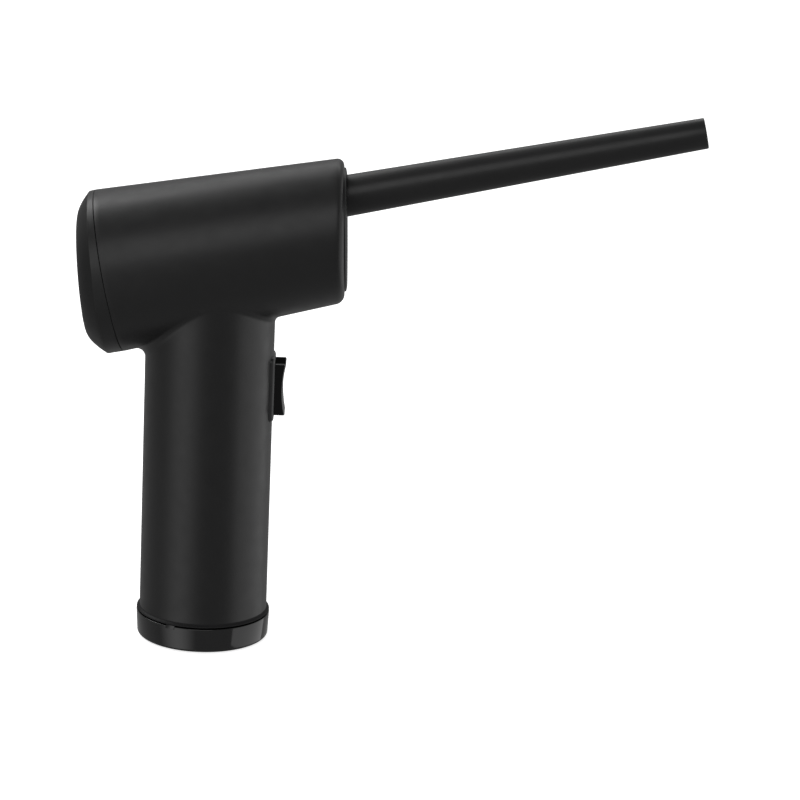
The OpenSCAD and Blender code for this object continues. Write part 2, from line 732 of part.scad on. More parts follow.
module nozzle()
    color(black) in_barrel(0, nozzle_offset) difference() {
        union() {
            translate([0, 0, nozzle_back_u]) cylinder(h = nozzle_insert + plate_t, r = nozzle_root_r);
            translate([0, 0, nozzle_root_u + plate_t])
                cylinder(h = nozzle_len - plate_t, r1 = nozzle_root_r, r2 = nozzle_tip_d / 2);
        }
        translate([0, 0, nozzle_back_u - over]) cylinder(h = spigot_len + 2 * over, r = nozzle_bore_r);
        translate([0, 0, spigot_end_u + 0.9])
            cylinder(h = nozzle_tip_u - tip_bore_len - spigot_end_u - 0.9, r1 = nozzle_bore_r - 0.6,
                     r2 = tip_bore_d / 2);
        translate([0, 0, nozzle_tip_u - tip_bore_len - 0.01])
            cylinder(h = tip_bore_len + over, r = tip_bore_d / 2);
    }

// ---- Battery pack ----

module cell(i)
    color([0.15, 0.45, 0.3]) rotate([0, 0, 90 + 120 * i]) translate([cell_ring, 0, cell_z])
        cylinder(h = cell_len, r = cell_d / 2);
module battery_cell_1() cell(0);
module battery_cell_2() cell(1);
module battery_cell_3() cell(2);

module battery_pad()
    color([0.25, 0.25, 0.26]) translate([0, 0, cap_base + cap_floor]) difference() {
        cylinder(h = pad_t - 0.02, r = holder_r - 0.4);
        screw_places() translate([0, 0, -over]) cylinder(h = pad_t + 2 * over, r = boss_r + 0.2);
    }

// One cup-shaped holder, floor down: cell seats, channels for the straps and room for the screw bosses
module holder(r, first)
    difference() {
        translate([0, 0, -holder_floor]) cylinder(h = holder_h, r = r);
        cell_places() cylinder(h = holder_h, r = holder_bore);
        translate([0, 0, -holder_floor - over]) {
            screw_places() cylinder(h = holder_h + 2 * over, r = boss_r + 0.3);
            linear_extrude(height = holder_floor + 2 * over) strap_outline(first, slide_gap);
        }
    }
module lower_holder() color([0.85, 0.85, 0.82]) translate([0, 0, cell_z]) holder(holder_r, 0);
module upper_holder()
    color([0.85, 0.85, 0.82]) {
        translate([0, 0, cell_top]) mirror([0, 0, 1]) holder(upper_holder_r, 1);
        // Posts that carry the pack's board
        around(3, post_angle) translate([upper_holder_r - post_r - 0.5, 0, cell_top])
            cylinder(h = pack_board_z - cell_top, r = post_r);
    }

// At each end of the pack one strap joins two cells and a tab takes the third, which is cell number first
module strap_outline(first, grow = 0)
    rotate([0, 0, 90 + 120 * first]) {
        translate([-cell_ring / 2, 0]) square([strap_w + 2 * grow, 2 * cell_ring + 2 * grow], center = true);
        translate([cell_ring, 0]) square(strap_w + 2 * grow, center = true);
    }
module cell_straps()
    color("silver") {
        translate([0, 0, cell_z - strap_t]) linear_extrude(height = strap_t) strap_outline(0);
        translate([0, 0, cell_top]) linear_extrude(height = strap_t) strap_outline(1);
    }

module pack_board()
    color([0.05, 0.3, 0.15]) translate([0, 0, pack_board_z]) difference() {
        cylinder(h = board_t, r = pack_board_r);
        translate([0, 0, -over]) cylinder(h = board_t + 2 * over, r = 3);
    }

// ---- Control board ----

module control_board()
    color([0.05, 0.3, 0.15])
        translate([board_back, board_y, board_z]) cube([board_front - board_back, board_t, board_h]);

module board_chips()
    color([0.12, 0.12, 0.12]) {
        // Three pairs of power transistors on one face, the controller on the other
        for (x = [board_back + 5, board_back + 11], share = [0.2, 0.45, 0.7])
            translate([x, board_y - 1.1, board_z + share * board_h]) cube([4.2, 1.1, 5.2]);
        translate([board_back + 9, board_y + board_t, port_z - 4]) cube([5, 0.9, 5]);
    }

module board_capacitor()
    color([0.2, 0.2, 0.3])
        translate([board_front - 7.7, board_y + board_t + 4, board_z + board_h - 13]) cylinder(h = 12, r = 4);

module charging_port()
    color("silver") difference() {
        box_x(-handle_r + port_inset, -handle_r + port_inset + port_len, port_w, port_h, port_z);
        difference() {
            box_x(-handle_r - over, -handle_r + port_inset + port_len - 0.8, port_w - 0.6, port_h - 0.6,
                  port_z);
            box_x(-handle_r + port_inset + 0.8, -handle_r + port_len, 0.7, port_h - 2.2, port_z);
        }
    }

module indicator_lens()
    color([0.9, 0.95, 1]) translate([-handle_r + 0.05, 0, lens_z]) rotate([0, 90, 0])
        cylinder(h = wall + 0.6, r = lens_r);

// ---- Switch ----

module switch_body()
    color(gloss_black) difference() {
        union() {
            bezel_plate(bezel_back, bezel_face, bezel_w, bezel_h);
            box_x(switch_back, bezel_back + 0.1, switch_body_w, switch_body_h, switch_z);
        }
        box_x(pivot_x - rocker_depth - 2, bezel_face + over, switch_open_w, switch_open_h, switch_z);
        translate([pivot_x, 0, switch_z]) rotate([90, 0, 0])
            cylinder(h = switch_body_w - 0.8, r = pivot_r + run_gap, center = true);
    }

module switch_rocker()
    color([0.03, 0.03, 0.035]) {
        difference() {
            union() {
                box_x(pivot_x - 1.6, rocker_face, rocker_w, rocker_h, switch_z);
                box_x(pivot_x - rocker_depth, pivot_x, rocker_w, rocker_h / 2, switch_z);
            }
            translate([rocker_face - rocker_dish + rocker_dish_r, 0, switch_z]) rotate([90, 0, 0])
                cylinder(h = rocker_w + 2 * over, r = rocker_dish_r, center = true);
        }
        translate([pivot_x, 0, switch_z]) rotate([90, 0, 0])
            cylinder(h = switch_body_w - 1, r = pivot_r, center = true);
    }

module switch_terminals()
    color([0.8, 0.65, 0.3]) for (i = [-1:1])
        translate([switch_back - terminal_len, 0, switch_z + terminal_pitch * i])
            translate([0, -terminal_w / 2, -terminal_t / 2]) cube([terminal_len, terminal_w, terminal_t]);

// ---- Wires ----
// Points of a route beside the barrel's axis are [along the axis, across, down]
function barrel_point(v) = [
    v[0] * cos(barrel_tilt) + v[2] * sin(barrel_tilt), v[1],
    barrel_z + v[0] * sin(barrel_tilt) - v[2] * cos(barrel_tilt)
];

module motor_wires()
    color([0.75, 0.1, 0.1]) for (i = [-1:1])
        let (y = i * (wire_d + 0.15), top = board_z + board_h)
            wire([
                barrel_point([motor_front - 2.5, y, 8.2]), barrel_point([motor_front - 0.4, y, 8.2]),
                barrel_point([wire_hole_u - 0.6, y, 9.6]), barrel_point([wire_hole_u, y, 13]),
                barrel_point([wire_hole_u, y, duct_r - 1]),
                barrel_point([wire_hole_u - 1.3, y, duct_collar_r + 0.3]),
                [handle_ir - 1.9, y, top + 9.6], [16.5, y, top + 6.8], [9, y, top + 4.6], [0, y, top + 3.2],
                [board_front - 3 - 2 * i, y, top + 2.6],
                [board_front - 4.5 - 2 * i, board_y + board_t / 2 + y / 2, top + 1.6],
                [board_front - 4.7 - 2 * i, board_y + board_t / 2, top + 0.8],
                [board_front - 4.7 - 2 * i, board_y + board_t / 2, top + 0.02]
            ]);

module battery_wires()
    color([0.75, 0.1, 0.1]) for (i = [0, 1])
        wire([
            [-6 - 5 * i, 5, pack_top], [-6 - 5 * i, 5, pack_top + 2],
            [-6.5 - 5 * i, 4.2, pack_top + 4.5],
            [-7 - 5 * i, 1.6, board_z + 1.8], [-7 - 5 * i, 0.2, board_z + 2.4],
            [-7 - 5 * i, board_y + board_t + 0.02, board_z + 2.4]
        ]);

module switch_wires()
    color([0.2, 0.2, 0.2]) for (i = [-1, 1])
        let (z = switch_z + terminal_pitch * i)
            wire([
                [switch_back - 3, 0, z + terminal_t / 2 + 0.02 + wire_d / 2],
                [switch_back - terminal_len - 0.5, 0.3, z + terminal_t / 2 + 0.02 + wire_d / 2],
                [switch_back - 8, 2, z + 1.1], [switch_back - 9, 2.4, z + 1], [board_front - 1.2, 1.4, z + 1],
                [board_front - 1.8, 0, z + 1], [board_front - 1.8, board_y + board_t + 0.02, z + 1]
            ]);

barrel_shell();
handle_shell();
front_plate();
base_cap();
foot_pad();
base_screws();
rear_cover();
intake_filter();
filter_frame();
intake_guard();
guard_screws();
fan_shroud();
rear_mount();
front_mount();
outlet_duct();
outlet_seal();
nozzle();
impeller();
motor_shaft();
rotor_magnet();
motor_can();
motor_endbell();
motor_bearings();
stator_core();
motor_windings();
battery_cell_1();
battery_cell_2();
battery_cell_3();
battery_pad();
lower_holder();
upper_holder();
cell_straps();
pack_board();
control_board();
board_chips();
board_capacitor();
charging_port();
indicator_lens();
switch_body();
switch_rocker();
switch_terminals();
motor_wires();
battery_wires();
switch_wires();
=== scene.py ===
# Cordless car dryer blower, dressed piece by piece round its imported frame.
# Lengths are in millimetres until a mesh is made; the frame itself is in metres.
import math

import bmesh
import bpy
from mathutils import Matrix, Vector, geometry, noise


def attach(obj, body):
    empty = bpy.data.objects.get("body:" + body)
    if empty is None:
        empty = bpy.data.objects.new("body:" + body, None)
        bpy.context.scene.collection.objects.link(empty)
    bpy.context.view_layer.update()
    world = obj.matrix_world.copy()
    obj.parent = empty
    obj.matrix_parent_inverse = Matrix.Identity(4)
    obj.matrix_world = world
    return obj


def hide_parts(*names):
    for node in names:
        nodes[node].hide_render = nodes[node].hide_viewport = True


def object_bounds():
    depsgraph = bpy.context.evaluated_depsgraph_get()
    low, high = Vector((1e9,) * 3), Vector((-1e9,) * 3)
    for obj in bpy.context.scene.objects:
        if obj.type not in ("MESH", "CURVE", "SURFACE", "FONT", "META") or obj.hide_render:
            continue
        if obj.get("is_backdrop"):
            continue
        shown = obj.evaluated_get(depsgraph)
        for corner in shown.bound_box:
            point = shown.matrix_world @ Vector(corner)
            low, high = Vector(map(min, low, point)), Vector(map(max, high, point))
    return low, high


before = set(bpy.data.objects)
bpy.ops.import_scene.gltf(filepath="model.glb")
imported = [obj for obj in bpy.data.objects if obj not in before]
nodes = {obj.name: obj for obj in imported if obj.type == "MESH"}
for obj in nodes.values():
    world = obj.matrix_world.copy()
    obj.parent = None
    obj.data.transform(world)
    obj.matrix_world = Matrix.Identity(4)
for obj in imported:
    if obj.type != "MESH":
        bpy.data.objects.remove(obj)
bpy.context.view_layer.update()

MM = 0.001

# ---- Camera ----
# A long lens 1.5 m off the blower's right side, square to the nozzle within a degree. It looks down on the
# blower at 16.5 degrees and is rolled by a little over 2 degrees. Angles are in radians.


def toward(turn, rise):
    """The direction that lies this far round from the blower's right side, and this far up."""
    return Vector((math.sin(turn) * math.cos(rise), -math.cos(turn) * math.cos(rise), math.sin(rise)))


cam_turn, cam_rise, cam_roll, cam_away = -0.01538, 0.28859, 0.04052, 1.5
cam_back = toward(cam_turn, cam_rise)
level_right = Vector((math.cos(cam_turn), math.sin(cam_turn), 0))
level_up = cam_back.cross(level_right)
cam_right = level_right * math.cos(cam_roll) + level_up * math.sin(cam_roll)
cam_up = level_up * math.cos(cam_roll) - level_right * math.sin(cam_roll)
nudge = 0.00018
aim = Vector((70.2, 0, 92.2)) * MM - cam_right * nudge + cam_up * nudge
camera_data = bpy.data.cameras.new("camera")
camera_data.lens, camera_data.sensor_width = 184.5, 36
camera_data.clip_start, camera_data.clip_end = 0.1, 30
camera = bpy.data.objects.new("camera", camera_data)
spot = aim + cam_back * cam_away
camera.matrix_world = Matrix(
    [[cam_right[i], cam_up[i], cam_back[i], spot[i]] for i in range(3)] + [[0, 0, 0, 1]])
bpy.context.scene.collection.objects.link(camera)
bpy.context.scene.camera = camera
bpy.context.scene.view_settings.view_transform = "Standard"

# ---- Floor and room ----
# A wide white floor in a softly lit room takes the blower's shadow. Two lamps reach below its level, so it
# casts no shadow itself and is left out of mirror reflections.
half_floor, floor_z = 9, -0.0002
floor_corners = [(half_floor * x, half_floor * y, floor_z) for x, y in ((-1, -1), (1, -1), (1, 1), (-1, 1))]
floor_mesh = bpy.data.meshes.new("floor")
floor_mesh.from_pydata(floor_corners, [], [(0, 1, 2, 3)])
floor = bpy.data.objects.new("floor", floor_mesh)
bpy.context.scene.collection.objects.link(floor)
floor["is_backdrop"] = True
floor.visible_glossy = floor.visible_shadow = False

# The paint glows where the eye meets it, directly or through a lens, and is plain matt white otherwise
floor_white = bpy.data.materials.new("floor_white")
floor_white.use_nodes = True
paint = floor_white.node_tree
paint.nodes.clear()
matt = paint.nodes.new("ShaderNodeBsdfDiffuse")
matt.inputs["Color"].default_value = (0.78, 0.78, 0.78, 1)
glow = paint.nodes.new("ShaderNodeEmission")
glow.inputs["Strength"].default_value = 0.76
seen = paint.nodes.new("ShaderNodeLightPath")
eyes = paint.nodes.new("ShaderNodeMath")
eyes.operation = "MAXIMUM"
paint.links.new(seen.outputs["Is Camera Ray"], eyes.inputs[0])
more = paint.nodes.new("ShaderNodeMath")
more.operation = "MAXIMUM"
paint.links.new(seen.outputs["Is Glossy Ray"], more.inputs[0])
paint.links.new(seen.outputs["Is Transmission Ray"], more.inputs[1])
paint.links.new(more.outputs[0], eyes.inputs[1])
both = paint.nodes.new("ShaderNodeAddShader")
pick = paint.nodes.new("ShaderNodeMixShader")
out = paint.nodes.new("ShaderNodeOutputMaterial")
paint.links.new(matt.outputs[0], both.inputs[0])
paint.links.new(glow.outputs[0], both.inputs[1])
paint.links.new(eyes.outputs[0], pick.inputs[0])
paint.links.new(matt.outputs[0], pick.inputs[1])
paint.links.new(both.outputs[0], pick.inputs[2])
paint.links.new(pick.outputs[0], out.inputs[0])
floor_mesh.materials.append(floor_white)

room = bpy.data.worlds.new("room")
bpy.context.scene.world = room
room.use_nodes = True
room.node_tree.nodes["Background"].inputs["Color"].default_value = (1, 1, 1, 1)
room.node_tree.nodes["Background"].inputs["Strength"].default_value = 0.32

# ---- Studio lamps ----
# Large soft boxes stand round the blower, as the camera sees it: a wide one at the right, a feathered one at
# the left, a strong one high at the left behind, and weaker ones high behind and high in front.
lit_spot = Vector((0.05, 0, 0.1))


def soft_box(name, turn, rise, away, width, height, power, feathered=False):
    """A lamp that faces the blower from this many degrees round and up, with its lengths in metres. A
    feathered one fades towards its left and right sides."""
    data = bpy.data.lights.new(name, "AREA")
    data.shape, data.size, data.size_y, data.energy = "RECTANGLE", width, height, power
    lamp = bpy.data.objects.new(name, data)
    side = toward(math.radians(turn), math.radians(rise))
    lamp.location = lit_spot + side * away
    lamp.rotation_mode = "QUATERNION"
    lamp.rotation_quaternion = side.to_track_quat("Z", "Y")
    lamp.visible_camera = False
    bpy.context.scene.collection.objects.link(lamp)
    if not feathered:
        return
    data.use_nodes = True
    cloth = data.node_tree
    place = cloth.nodes.new("ShaderNodeNewGeometry")
    parts = cloth.nodes.new("ShaderNodeSeparateXYZ")
    shift = cloth.nodes.new("ShaderNodeMath")
    shift.operation = "SUBTRACT"
    shift.inputs[1].default_value = 0.5
    near = cloth.nodes.new("ShaderNodeMath")
    near.operation = "ABSOLUTE"
    fade = cloth.nodes.new("ShaderNodeMapRange")
    fade.interpolation_type = "SMOOTHSTEP"
    fade.inputs["From Max"].default_value = 0.5
    fade.inputs["To Min"].default_value, fade.inputs["To Max"].default_value = 2.0, 0.0
    cloth.links.new(place.outputs["Parametric"], parts.inputs[0])
    cloth.links.new(parts.outputs["X"], shift.inputs[0])
    cloth.links.new(shift.outputs[0], near.inputs[0])
    cloth.links.new(near.outputs[0], fade.inputs["Value"])
    cloth.links.new(fade.outputs["Result"], cloth.nodes["Emission"].inputs["Strength"])


soft_box("right_box", 93, 0, 0.9, 1.5, 1.3, 5.1)
soft_box("left_box", -44, 0, 0.9, 1.25, 1.5, 3.1, True)
soft_box("high_left_box", -125, 45, 1.2, 0.8, 0.6, 7.2)
soft_box("high_back_box", 175, 42, 1.2, 0.8, 0.5, 1.5)
soft_box("high_front_box", -5, 38, 1.2, 0.8, 0.7, 2.1)

# ---- Base cap ----
# The glossy cap closes the handle's lower end. It is moulded in polished black plastic, plugs into the
# handle with a thin collar, and is held by three screws that run up into bosses between the cells.


def circle(r, z, at=Matrix(), steps=128):
    """The points of a circle about local Z."""
    turns = [math.tau * k / steps for k in range(steps)]
    return [at @ Vector((r * math.cos(t), r * math.sin(t), z)) for t in turns]


def spun(profile, at=Matrix(), steps=128, closed=False):
    """Points and faces of a shape turned about local Z. The profile is a list of (radius, height)."""
    points, rings = [], []
    for r, z in profile:
        if r == 0:
            rings.append([len(points)] * steps)
            points.append(at @ Vector((0, 0, z)))
            continue
        rings.append(list(range(len(points), len(points) + steps)))
        points += circle(r, z, at, steps)
    return points, skinned(rings, closed)


def skinned(rings, closed=False):
    """Faces between neighbouring rings of point numbers. A ring of one repeated number is a tip."""
    faces = []
    for a, b in zip(rings, rings[1:] + (rings[:1] if closed else [])):
        for k in range(len(a)):
            n = (k + 1) % len(a)
            corners = list(dict.fromkeys((a[k], a[n], b[n], b[k])))
            if len(corners) > 2:
                faces.append(corners)
    return faces


def arc(r, z, radius, start, end, steps=6):
    """Points of a rounded edge in a profile, about the centre (r, z), from one angle to another."""
    turns = [math.radians(start + (end - start) * i / steps) for i in range(steps + 1)]
    return [(r + radius * math.cos(t), z + radius * math.sin(t)) for t in turns]


def lofted(rings, closed=False):
    """A solid through rings with the same number of points, with flat ends or closed to a loop."""
    count = len(rings[0])
    points = [p for ring in rings for p in ring]
    numbered = [list(range(i * count, (i + 1) * count)) for i in range(len(rings))]
    ends = [] if closed else [numbered[0][::-1], numbered[-1]]
    return points, skinned(numbered, closed) + ends


def joined(*parts):
    """Several shapes as one."""
    points, faces = [], []
    for some_points, some_faces in parts:
        faces += [[i + len(points) for i in face] for face in some_faces]
        points += some_points
    return points, faces


def add_mesh(name, shape):
    """A new piece from points in millimetres and faces."""
    points, faces = shape
    mesh = bpy.data.meshes.new(name)
    mesh.from_pydata([Vector(p) * MM for p in points], [], faces)
    work = bmesh.new()
    work.from_mesh(mesh)
    bmesh.ops.remove_doubles(work, verts=work.verts, dist=1e-7)
    bmesh.ops.recalc_face_normals(work, faces=work.faces)
    work.to_mesh(mesh)
    work.free()
    piece = bpy.data.objects.new(name, mesh)
    bpy.context.scene.collection.objects.link(piece)
    return piece


def settle(piece):
    """Replaces a piece's mesh by what its modifiers make of it."""
    bpy.context.view_layer.update()
    made = bpy.data.meshes.new_from_object(piece.evaluated_get(bpy.context.evaluated_depsgraph_get()))
    piece.modifiers.clear()
    piece.data = made


def cut(piece, shape, way="DIFFERENCE"):
    """Takes a shape out of a piece, or adds it with UNION."""
    tool = add_mesh("tool", shape)
    step = piece.modifiers.new("cut", "BOOLEAN")
    step.operation, step.solver, step.object = way, "MANIFOLD", tool
    settle(piece)
    bpy.data.objects.remove(tool)


def round_edges(piece, width, steps=2, angle=30):
    """Rounds every edge where the faces meet at more than this angle."""
    bevel = piece.modifiers.new("round", "BEVEL")
    bevel.width, bevel.segments = width * MM, steps
    bevel.limit_method, bevel.angle_limit = "ANGLE", math.radians(angle)
    settle(piece)


def shade(piece, finish, angle=35):
    """Smooth shading with sharp edges where faces meet at more than this angle, and the finish."""
    piece.data.shade_smooth()
    piece.data.set_sharp_from_angle(angle=math.radians(angle))
    piece.data.materials.clear()
    piece.data.materials.append(finish)


def moulded(name, colour, rough, grain=0.22, depth=0.006, mottle=0.1, worn=0.0, metal=0.0, spec=0.5):
    """A plastic, rubber or metal finish with a fine grain, of this width and depth in millimetres. Its tone
    and gloss are slightly uneven, and its outer edges are rubbed lighter where it is worn."""
    finish = bpy.data.materials.new(name)
    finish.use_nodes = True
    tree = finish.node_tree
    skin = tree.nodes["Principled BSDF"]
    skin.inputs["Metallic"].default_value = metal
    skin.inputs["Specular IOR Level"].default_value = spec
    place = tree.nodes.new("ShaderNodeTexCoord")

    def clouds(scale, detail):
        cloud = tree.nodes.new("ShaderNodeTexNoise")
        cloud.inputs["Scale"].default_value = scale
        cloud.inputs["Detail"].default_value = detail
        tree.links.new(place.outputs["Object"], cloud.inputs["Vector"])
        return cloud.outputs["Fac"]

    def spread(fac, low, high):
        span = tree.nodes.new("ShaderNodeMapRange")
        span.inputs["From Min"].default_value, span.inputs["From Max"].default_value = 0.3, 0.7
        span.inputs["To Min"].default_value, span.inputs["To Max"].default_value = low, high
        tree.links.new(fac, span.inputs["Value"])
        return span.outputs["Result"]

    tone = tree.nodes.new("ShaderNodeMix")
    tone.data_type = "RGBA"
    tone.inputs["A"].default_value = (*[c * (1 - mottle) for c in colour], 1)
    tone.inputs["B"].default_value = (*[c * (1 + mottle) for c in colour], 1)
    tree.links.new(spread(clouds(60, 3), 0, 1), tone.inputs["Factor"])
    base = tone.outputs["Result"]
    if worn:
        edge = tree.nodes.new("ShaderNodeNewGeometry")
        rub = tree.nodes.new("ShaderNodeMapRange")
        rub.inputs["From Min"].default_value, rub.inputs["From Max"].default_value = 0.53, 0.62
        tree.links.new(edge.outputs["Pointiness"], rub.inputs["Value"])
        rubbed = tree.nodes.new("ShaderNodeMix")
        rubbed.data_type = "RGBA"
        rubbed.inputs["B"].default_value = (*[min(1, c * (1 + worn)) for c in colour], 1)
        tree.links.new(base, rubbed.inputs["A"])
        tree.links.new(rub.outputs["Result"], rubbed.inputs["Factor"])
        base = rubbed.outputs["Result"]
    tree.links.new(base, skin.inputs["Base Color"])
    tree.links.new(spread(clouds(180, 4), rough * 0.9, rough * 1.1), skin.inputs["Roughness"])
    bump = tree.nodes.new("ShaderNodeBump")
    bump.inputs["Strength"].default_value = 0.6
    bump.inputs["Distance"].default_value = depth * MM
    tree.links.new(clouds(1 / (grain * MM), 2), bump.inputs["Height"])
    tree.links.new(bump.outputs["Normal"], skin.inputs["Normal"])
    return finish


polished_black = moulded("polished_black", (0.004, 0.004, 0.0042), 0.09, grain=2.5, depth=0.002, mottle=0.05)
cap_r, cap_top_r, cap_low, cap_high = 24.2, 24.6, 0.2, 9.3
low_round, top_round = 1.1, 0.35
recess_r, recess_top, cap_floor = 21.6, 1.4, 2.2
collar_r, collar_in, collar_top = 21.4, 20.2, 13.65
cap_profile = (
    [(0, recess_top), (recess_r, recess_top), (recess_r, cap_low + 0.2), (recess_r + 0.2, cap_low)]
    + [(cap_r - low_round, cap_low)] + arc(cap_r - low_round, cap_low + low_round, low_round, -90, 0, 8)
    + arc(cap_top_r - top_round, cap_high - top_round, top_round, 0, 90, 4)
    + [(collar_r + 0.3, cap_high), (collar_r, cap_high + 0.3)]
    + [(collar_r, collar_top - 0.35), (collar_r - 0.3, collar_top), (collar_in, collar_top)]
    + [(collar_in, cap_floor + 0.3), (collar_in - 0.3, cap_floor), (0, cap_floor)]
)
base_cap = add_mesh("base_cap_gloss", spun(cap_profile))


def turned(degrees):
    """A turn about the handle's axis."""
    return Matrix.Rotation(math.radians(degrees), 4, "Z")


def block(low, high, at=Matrix()):
    """A box between two corners."""
    xs, ys, zs = zip(low, high)
    points = [at @ Vector((x, y, z)) for x in xs for y in ys for z in zs]
    return points, [(0, 1, 3, 2), (4, 6, 7, 5), (0, 4, 5, 1), (2, 3, 7, 6), (0, 2, 6, 4), (1, 5, 7, 3)]


def rod(r, low, high, at=Matrix(), steps=48):
    """A round bar along local Z."""
    return spun([(0, low), (r, low), (r, high), (0, high)], at, steps)


screw_angles, screw_reach = (30, 150, 270), 19.3
screw_turns = [turned(a) @ Matrix.Translation((screw_reach, 0, 0)) for a in screw_angles]
head_r, shank_r, head_seat = 2.2, 1.2, 2.85
screw_hole = [(0, -1), (head_r, -1), (head_r, head_seat), (shank_r, head_seat), (shank_r, 15), (0, 15)]
cut(base_cap, joined(*[rod(1.95, 1.8, 13.4, at) for at in screw_turns]), "UNION")
cut(base_cap, joined(*[spun(screw_hole, at, 48) for at in screw_turns]))
shade(base_cap, polished_black)

# A small sloping key on the cap's upper edge lines the cap up with the handle
key_side = [(22.8, 8.4), (24.9, 8.4), (24.95, 8.55), (24.35, 9.7), (24.05, 9.8), (22.8, 9.8)]
key_turn, half_key = turned(-117), 1.75
key_ends = [[key_turn @ Vector((r, y, z)) for r, z in key_side] for y in (-half_key, half_key)]
cap_key = add_mesh("base_cap_key", lofted(key_ends))
round_edges(cap_key, 0.12)
shade(cap_key, polished_black)
for piece in (base_cap, cap_key):
    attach(piece, "body")
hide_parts("base_cap")

# ---- Foot and base screws ----
# A thin round foot of matt rubber is glued into the cap's recess over the heads of three plated screws.
# Two shallow rings are moulded into its underside for grip.
foot_rubber = moulded("foot_rubber", (0.014, 0.014, 0.014), 0.8, grain=0.5, depth=0.02, mottle=0.2, spec=0.3)
foot_r, foot_top = 21.5, 1.38
foot_profile = [(0, 0), (9, 0), (9.3, 0.3), (10.7, 0.3), (11, 0), (16, 0), (16.3, 0.3), (17.7, 0.3), (18, 0)]
foot_profile += arc(foot_r - 0.35, 0.35, 0.35, -90, 0, 4)
foot_profile += [(foot_r, 1.2), (foot_r - 0.2, foot_top), (0, foot_top)]
foot = add_mesh("rubber_foot", spun(foot_profile))
shade(foot, foot_rubber)
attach(foot, "body")
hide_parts("foot_pad")

plated_steel = moulded(
    "plated_steel", (0.55, 0.55, 0.53), 0.3, grain=0.15, depth=0.003, mottle=0.12, metal=1.0)
shade(nodes["base_screws"], plated_steel)

# ---- Housing ----
# The body is one hollow moulding in fine-textured matt black plastic: a slightly tapered barrel, tilted up
# 12.3 degrees, on a round handle. The two run into each other over a small radius, the front corner is
# rounded, and the handle's lower end flares into a thin lip over the base cap.
tilt = math.radians(12.3)
forward = Vector((math.cos(tilt), 0, math.sin(tilt)))
down = Vector((math.sin(tilt), 0, -math.cos(tilt)))
left = Vector((0, 1, 0))
axis_low = Vector((0, 0, 145.5))
seam_u, seam_r, front_u, front_r, wall = -37.7, 29.7, 48.6, 25.8, 2.0
taper = (front_r - seam_r) / (front_u - seam_u)
front_lean = math.radians(10.1)
handle_r, handle_in = 23.5, 21.5


def in_barrel(u=0.0, up=0.0):
    """The frame on the barrel's axis, this far forward and up: local Z runs forward and local X down."""
    lying = Matrix.Rotation(math.pi / 2 - tilt, 4, "Y")
    return Matrix.Translation(axis_low) @ lying @ Matrix.Translation((-up, 0, u))


def barrel_r(u):
    """The barrel's radius at this length along its axis."""
    return seam_r + taper * (u - seam_u)


def off_axis(u, r, turn):
    """A point beside the barrel's axis. The turn is counted from straight down, towards the left side."""
    return axis_low + forward * u + r * (down * math.cos(turn) + left * math.sin(turn))


def on_barrel(u, turn, inset=0.0):
    """A point of the barrel's cone, or this far inside it."""
    return off_axis(u, barrel_r(u) - inset, turn)


def behind_front(turn, depth, inset=0.0):
    """Where the cone's line at this turn meets the plane this deep behind the leaning front face."""
    sway = math.sin(front_lean) * math.cos(turn)
    base_r = seam_r - inset - taper * seam_u
    return (front_u * math.cos(front_lean) - sway * base_r - depth) / (math.cos(front_lean) + sway * taper)


columns, front_round, junction_round = 192, 2.9, 3.4
turns = [math.tau * k / columns - math.pi for k in range(columns)]
front_axis = Matrix.Rotation(math.pi / 2 - tilt + front_lean, 3, "Y") @ Vector((0, 0, 1))
front_middle = axis_low + forward * front_u


def front_ring(depth):
    """A ring of the rounded corner between the barrel and its front face, this deep behind the face."""
    middle = front_middle - front_axis * depth
    inset = front_round - math.sqrt(max(0, front_round ** 2 - (front_round - depth) ** 2))
    ring = []
    for turn in turns:
        p = on_barrel(behind_front(turn, depth), turn)
        ring.append(p + (middle - p).normalized() * inset)
    return ring


# The path of a ball of the junction's radius that rolls round the handle and touches the barrel too
roll, touch_handle, touch_barrel = [], [], []
handle_columns = 160
slope = math.sqrt(1 + taper ** 2)
for k in range(handle_columns):
    t = math.tau * k / handle_columns
    out_r = handle_r + junction_round
    low, high = 90.0, 145.0
    for _ in range(50):
        middle = Vector((out_r * math.cos(t), out_r * math.sin(t), (low + high) / 2))
        u = (middle - axis_low).dot(forward)
        away = middle - axis_low - forward * u
        if (away.length - barrel_r(u)) / slope > junction_round:
            low = middle.z
        else:
            high = middle.z
    normal = (away.normalized() - forward * taper) / slope
    roll.append(middle)
    touch_handle.append(Vector((handle_r * math.cos(t), handle_r * math.sin(t), middle.z)))
    touch_barrel.append(middle - normal * junction_round)

skin_points, skin_faces = [], []


def add_ring(ring):
    """Adds a ring of points to the housing's skin and gives their numbers."""
    skin_points.extend(ring)
    return list(range(len(skin_points) - len(ring), len(skin_points)))


# The barrel's side, as a flat sheet with a hole for the handle, which is then wrapped round the cone
rim_round, sheet_r = 0.2, 27.5
rim_u, length = seam_u + rim_round, front_u - seam_u
hole = []
for p in touch_barrel:
    u = (p - axis_low).dot(forward)
    turn = math.atan2((p - axis_low).dot(left), (p - axis_low).dot(down))
    ahead = behind_front(turn, front_round)
    hole.append(Vector(((u - rim_u) / (ahead - rim_u) * length, turn * sheet_r)))


def in_hole(p, grow=0.0):
    """Whether a point of the sheet lies in the hole, or nearer than this to a point of its edge."""
    inside, near = False, 1e9
    for a, b in zip(hole, hole[1:] + hole[:1]):
        if (a.y > p.y) != (b.y > p.y) and p.x < (b.x - a.x) * (p.y - a.y) / (b.y - a.y) + a.x:
            inside = not inside
        near = min(near, (p - a).length)
    return inside or near < grow


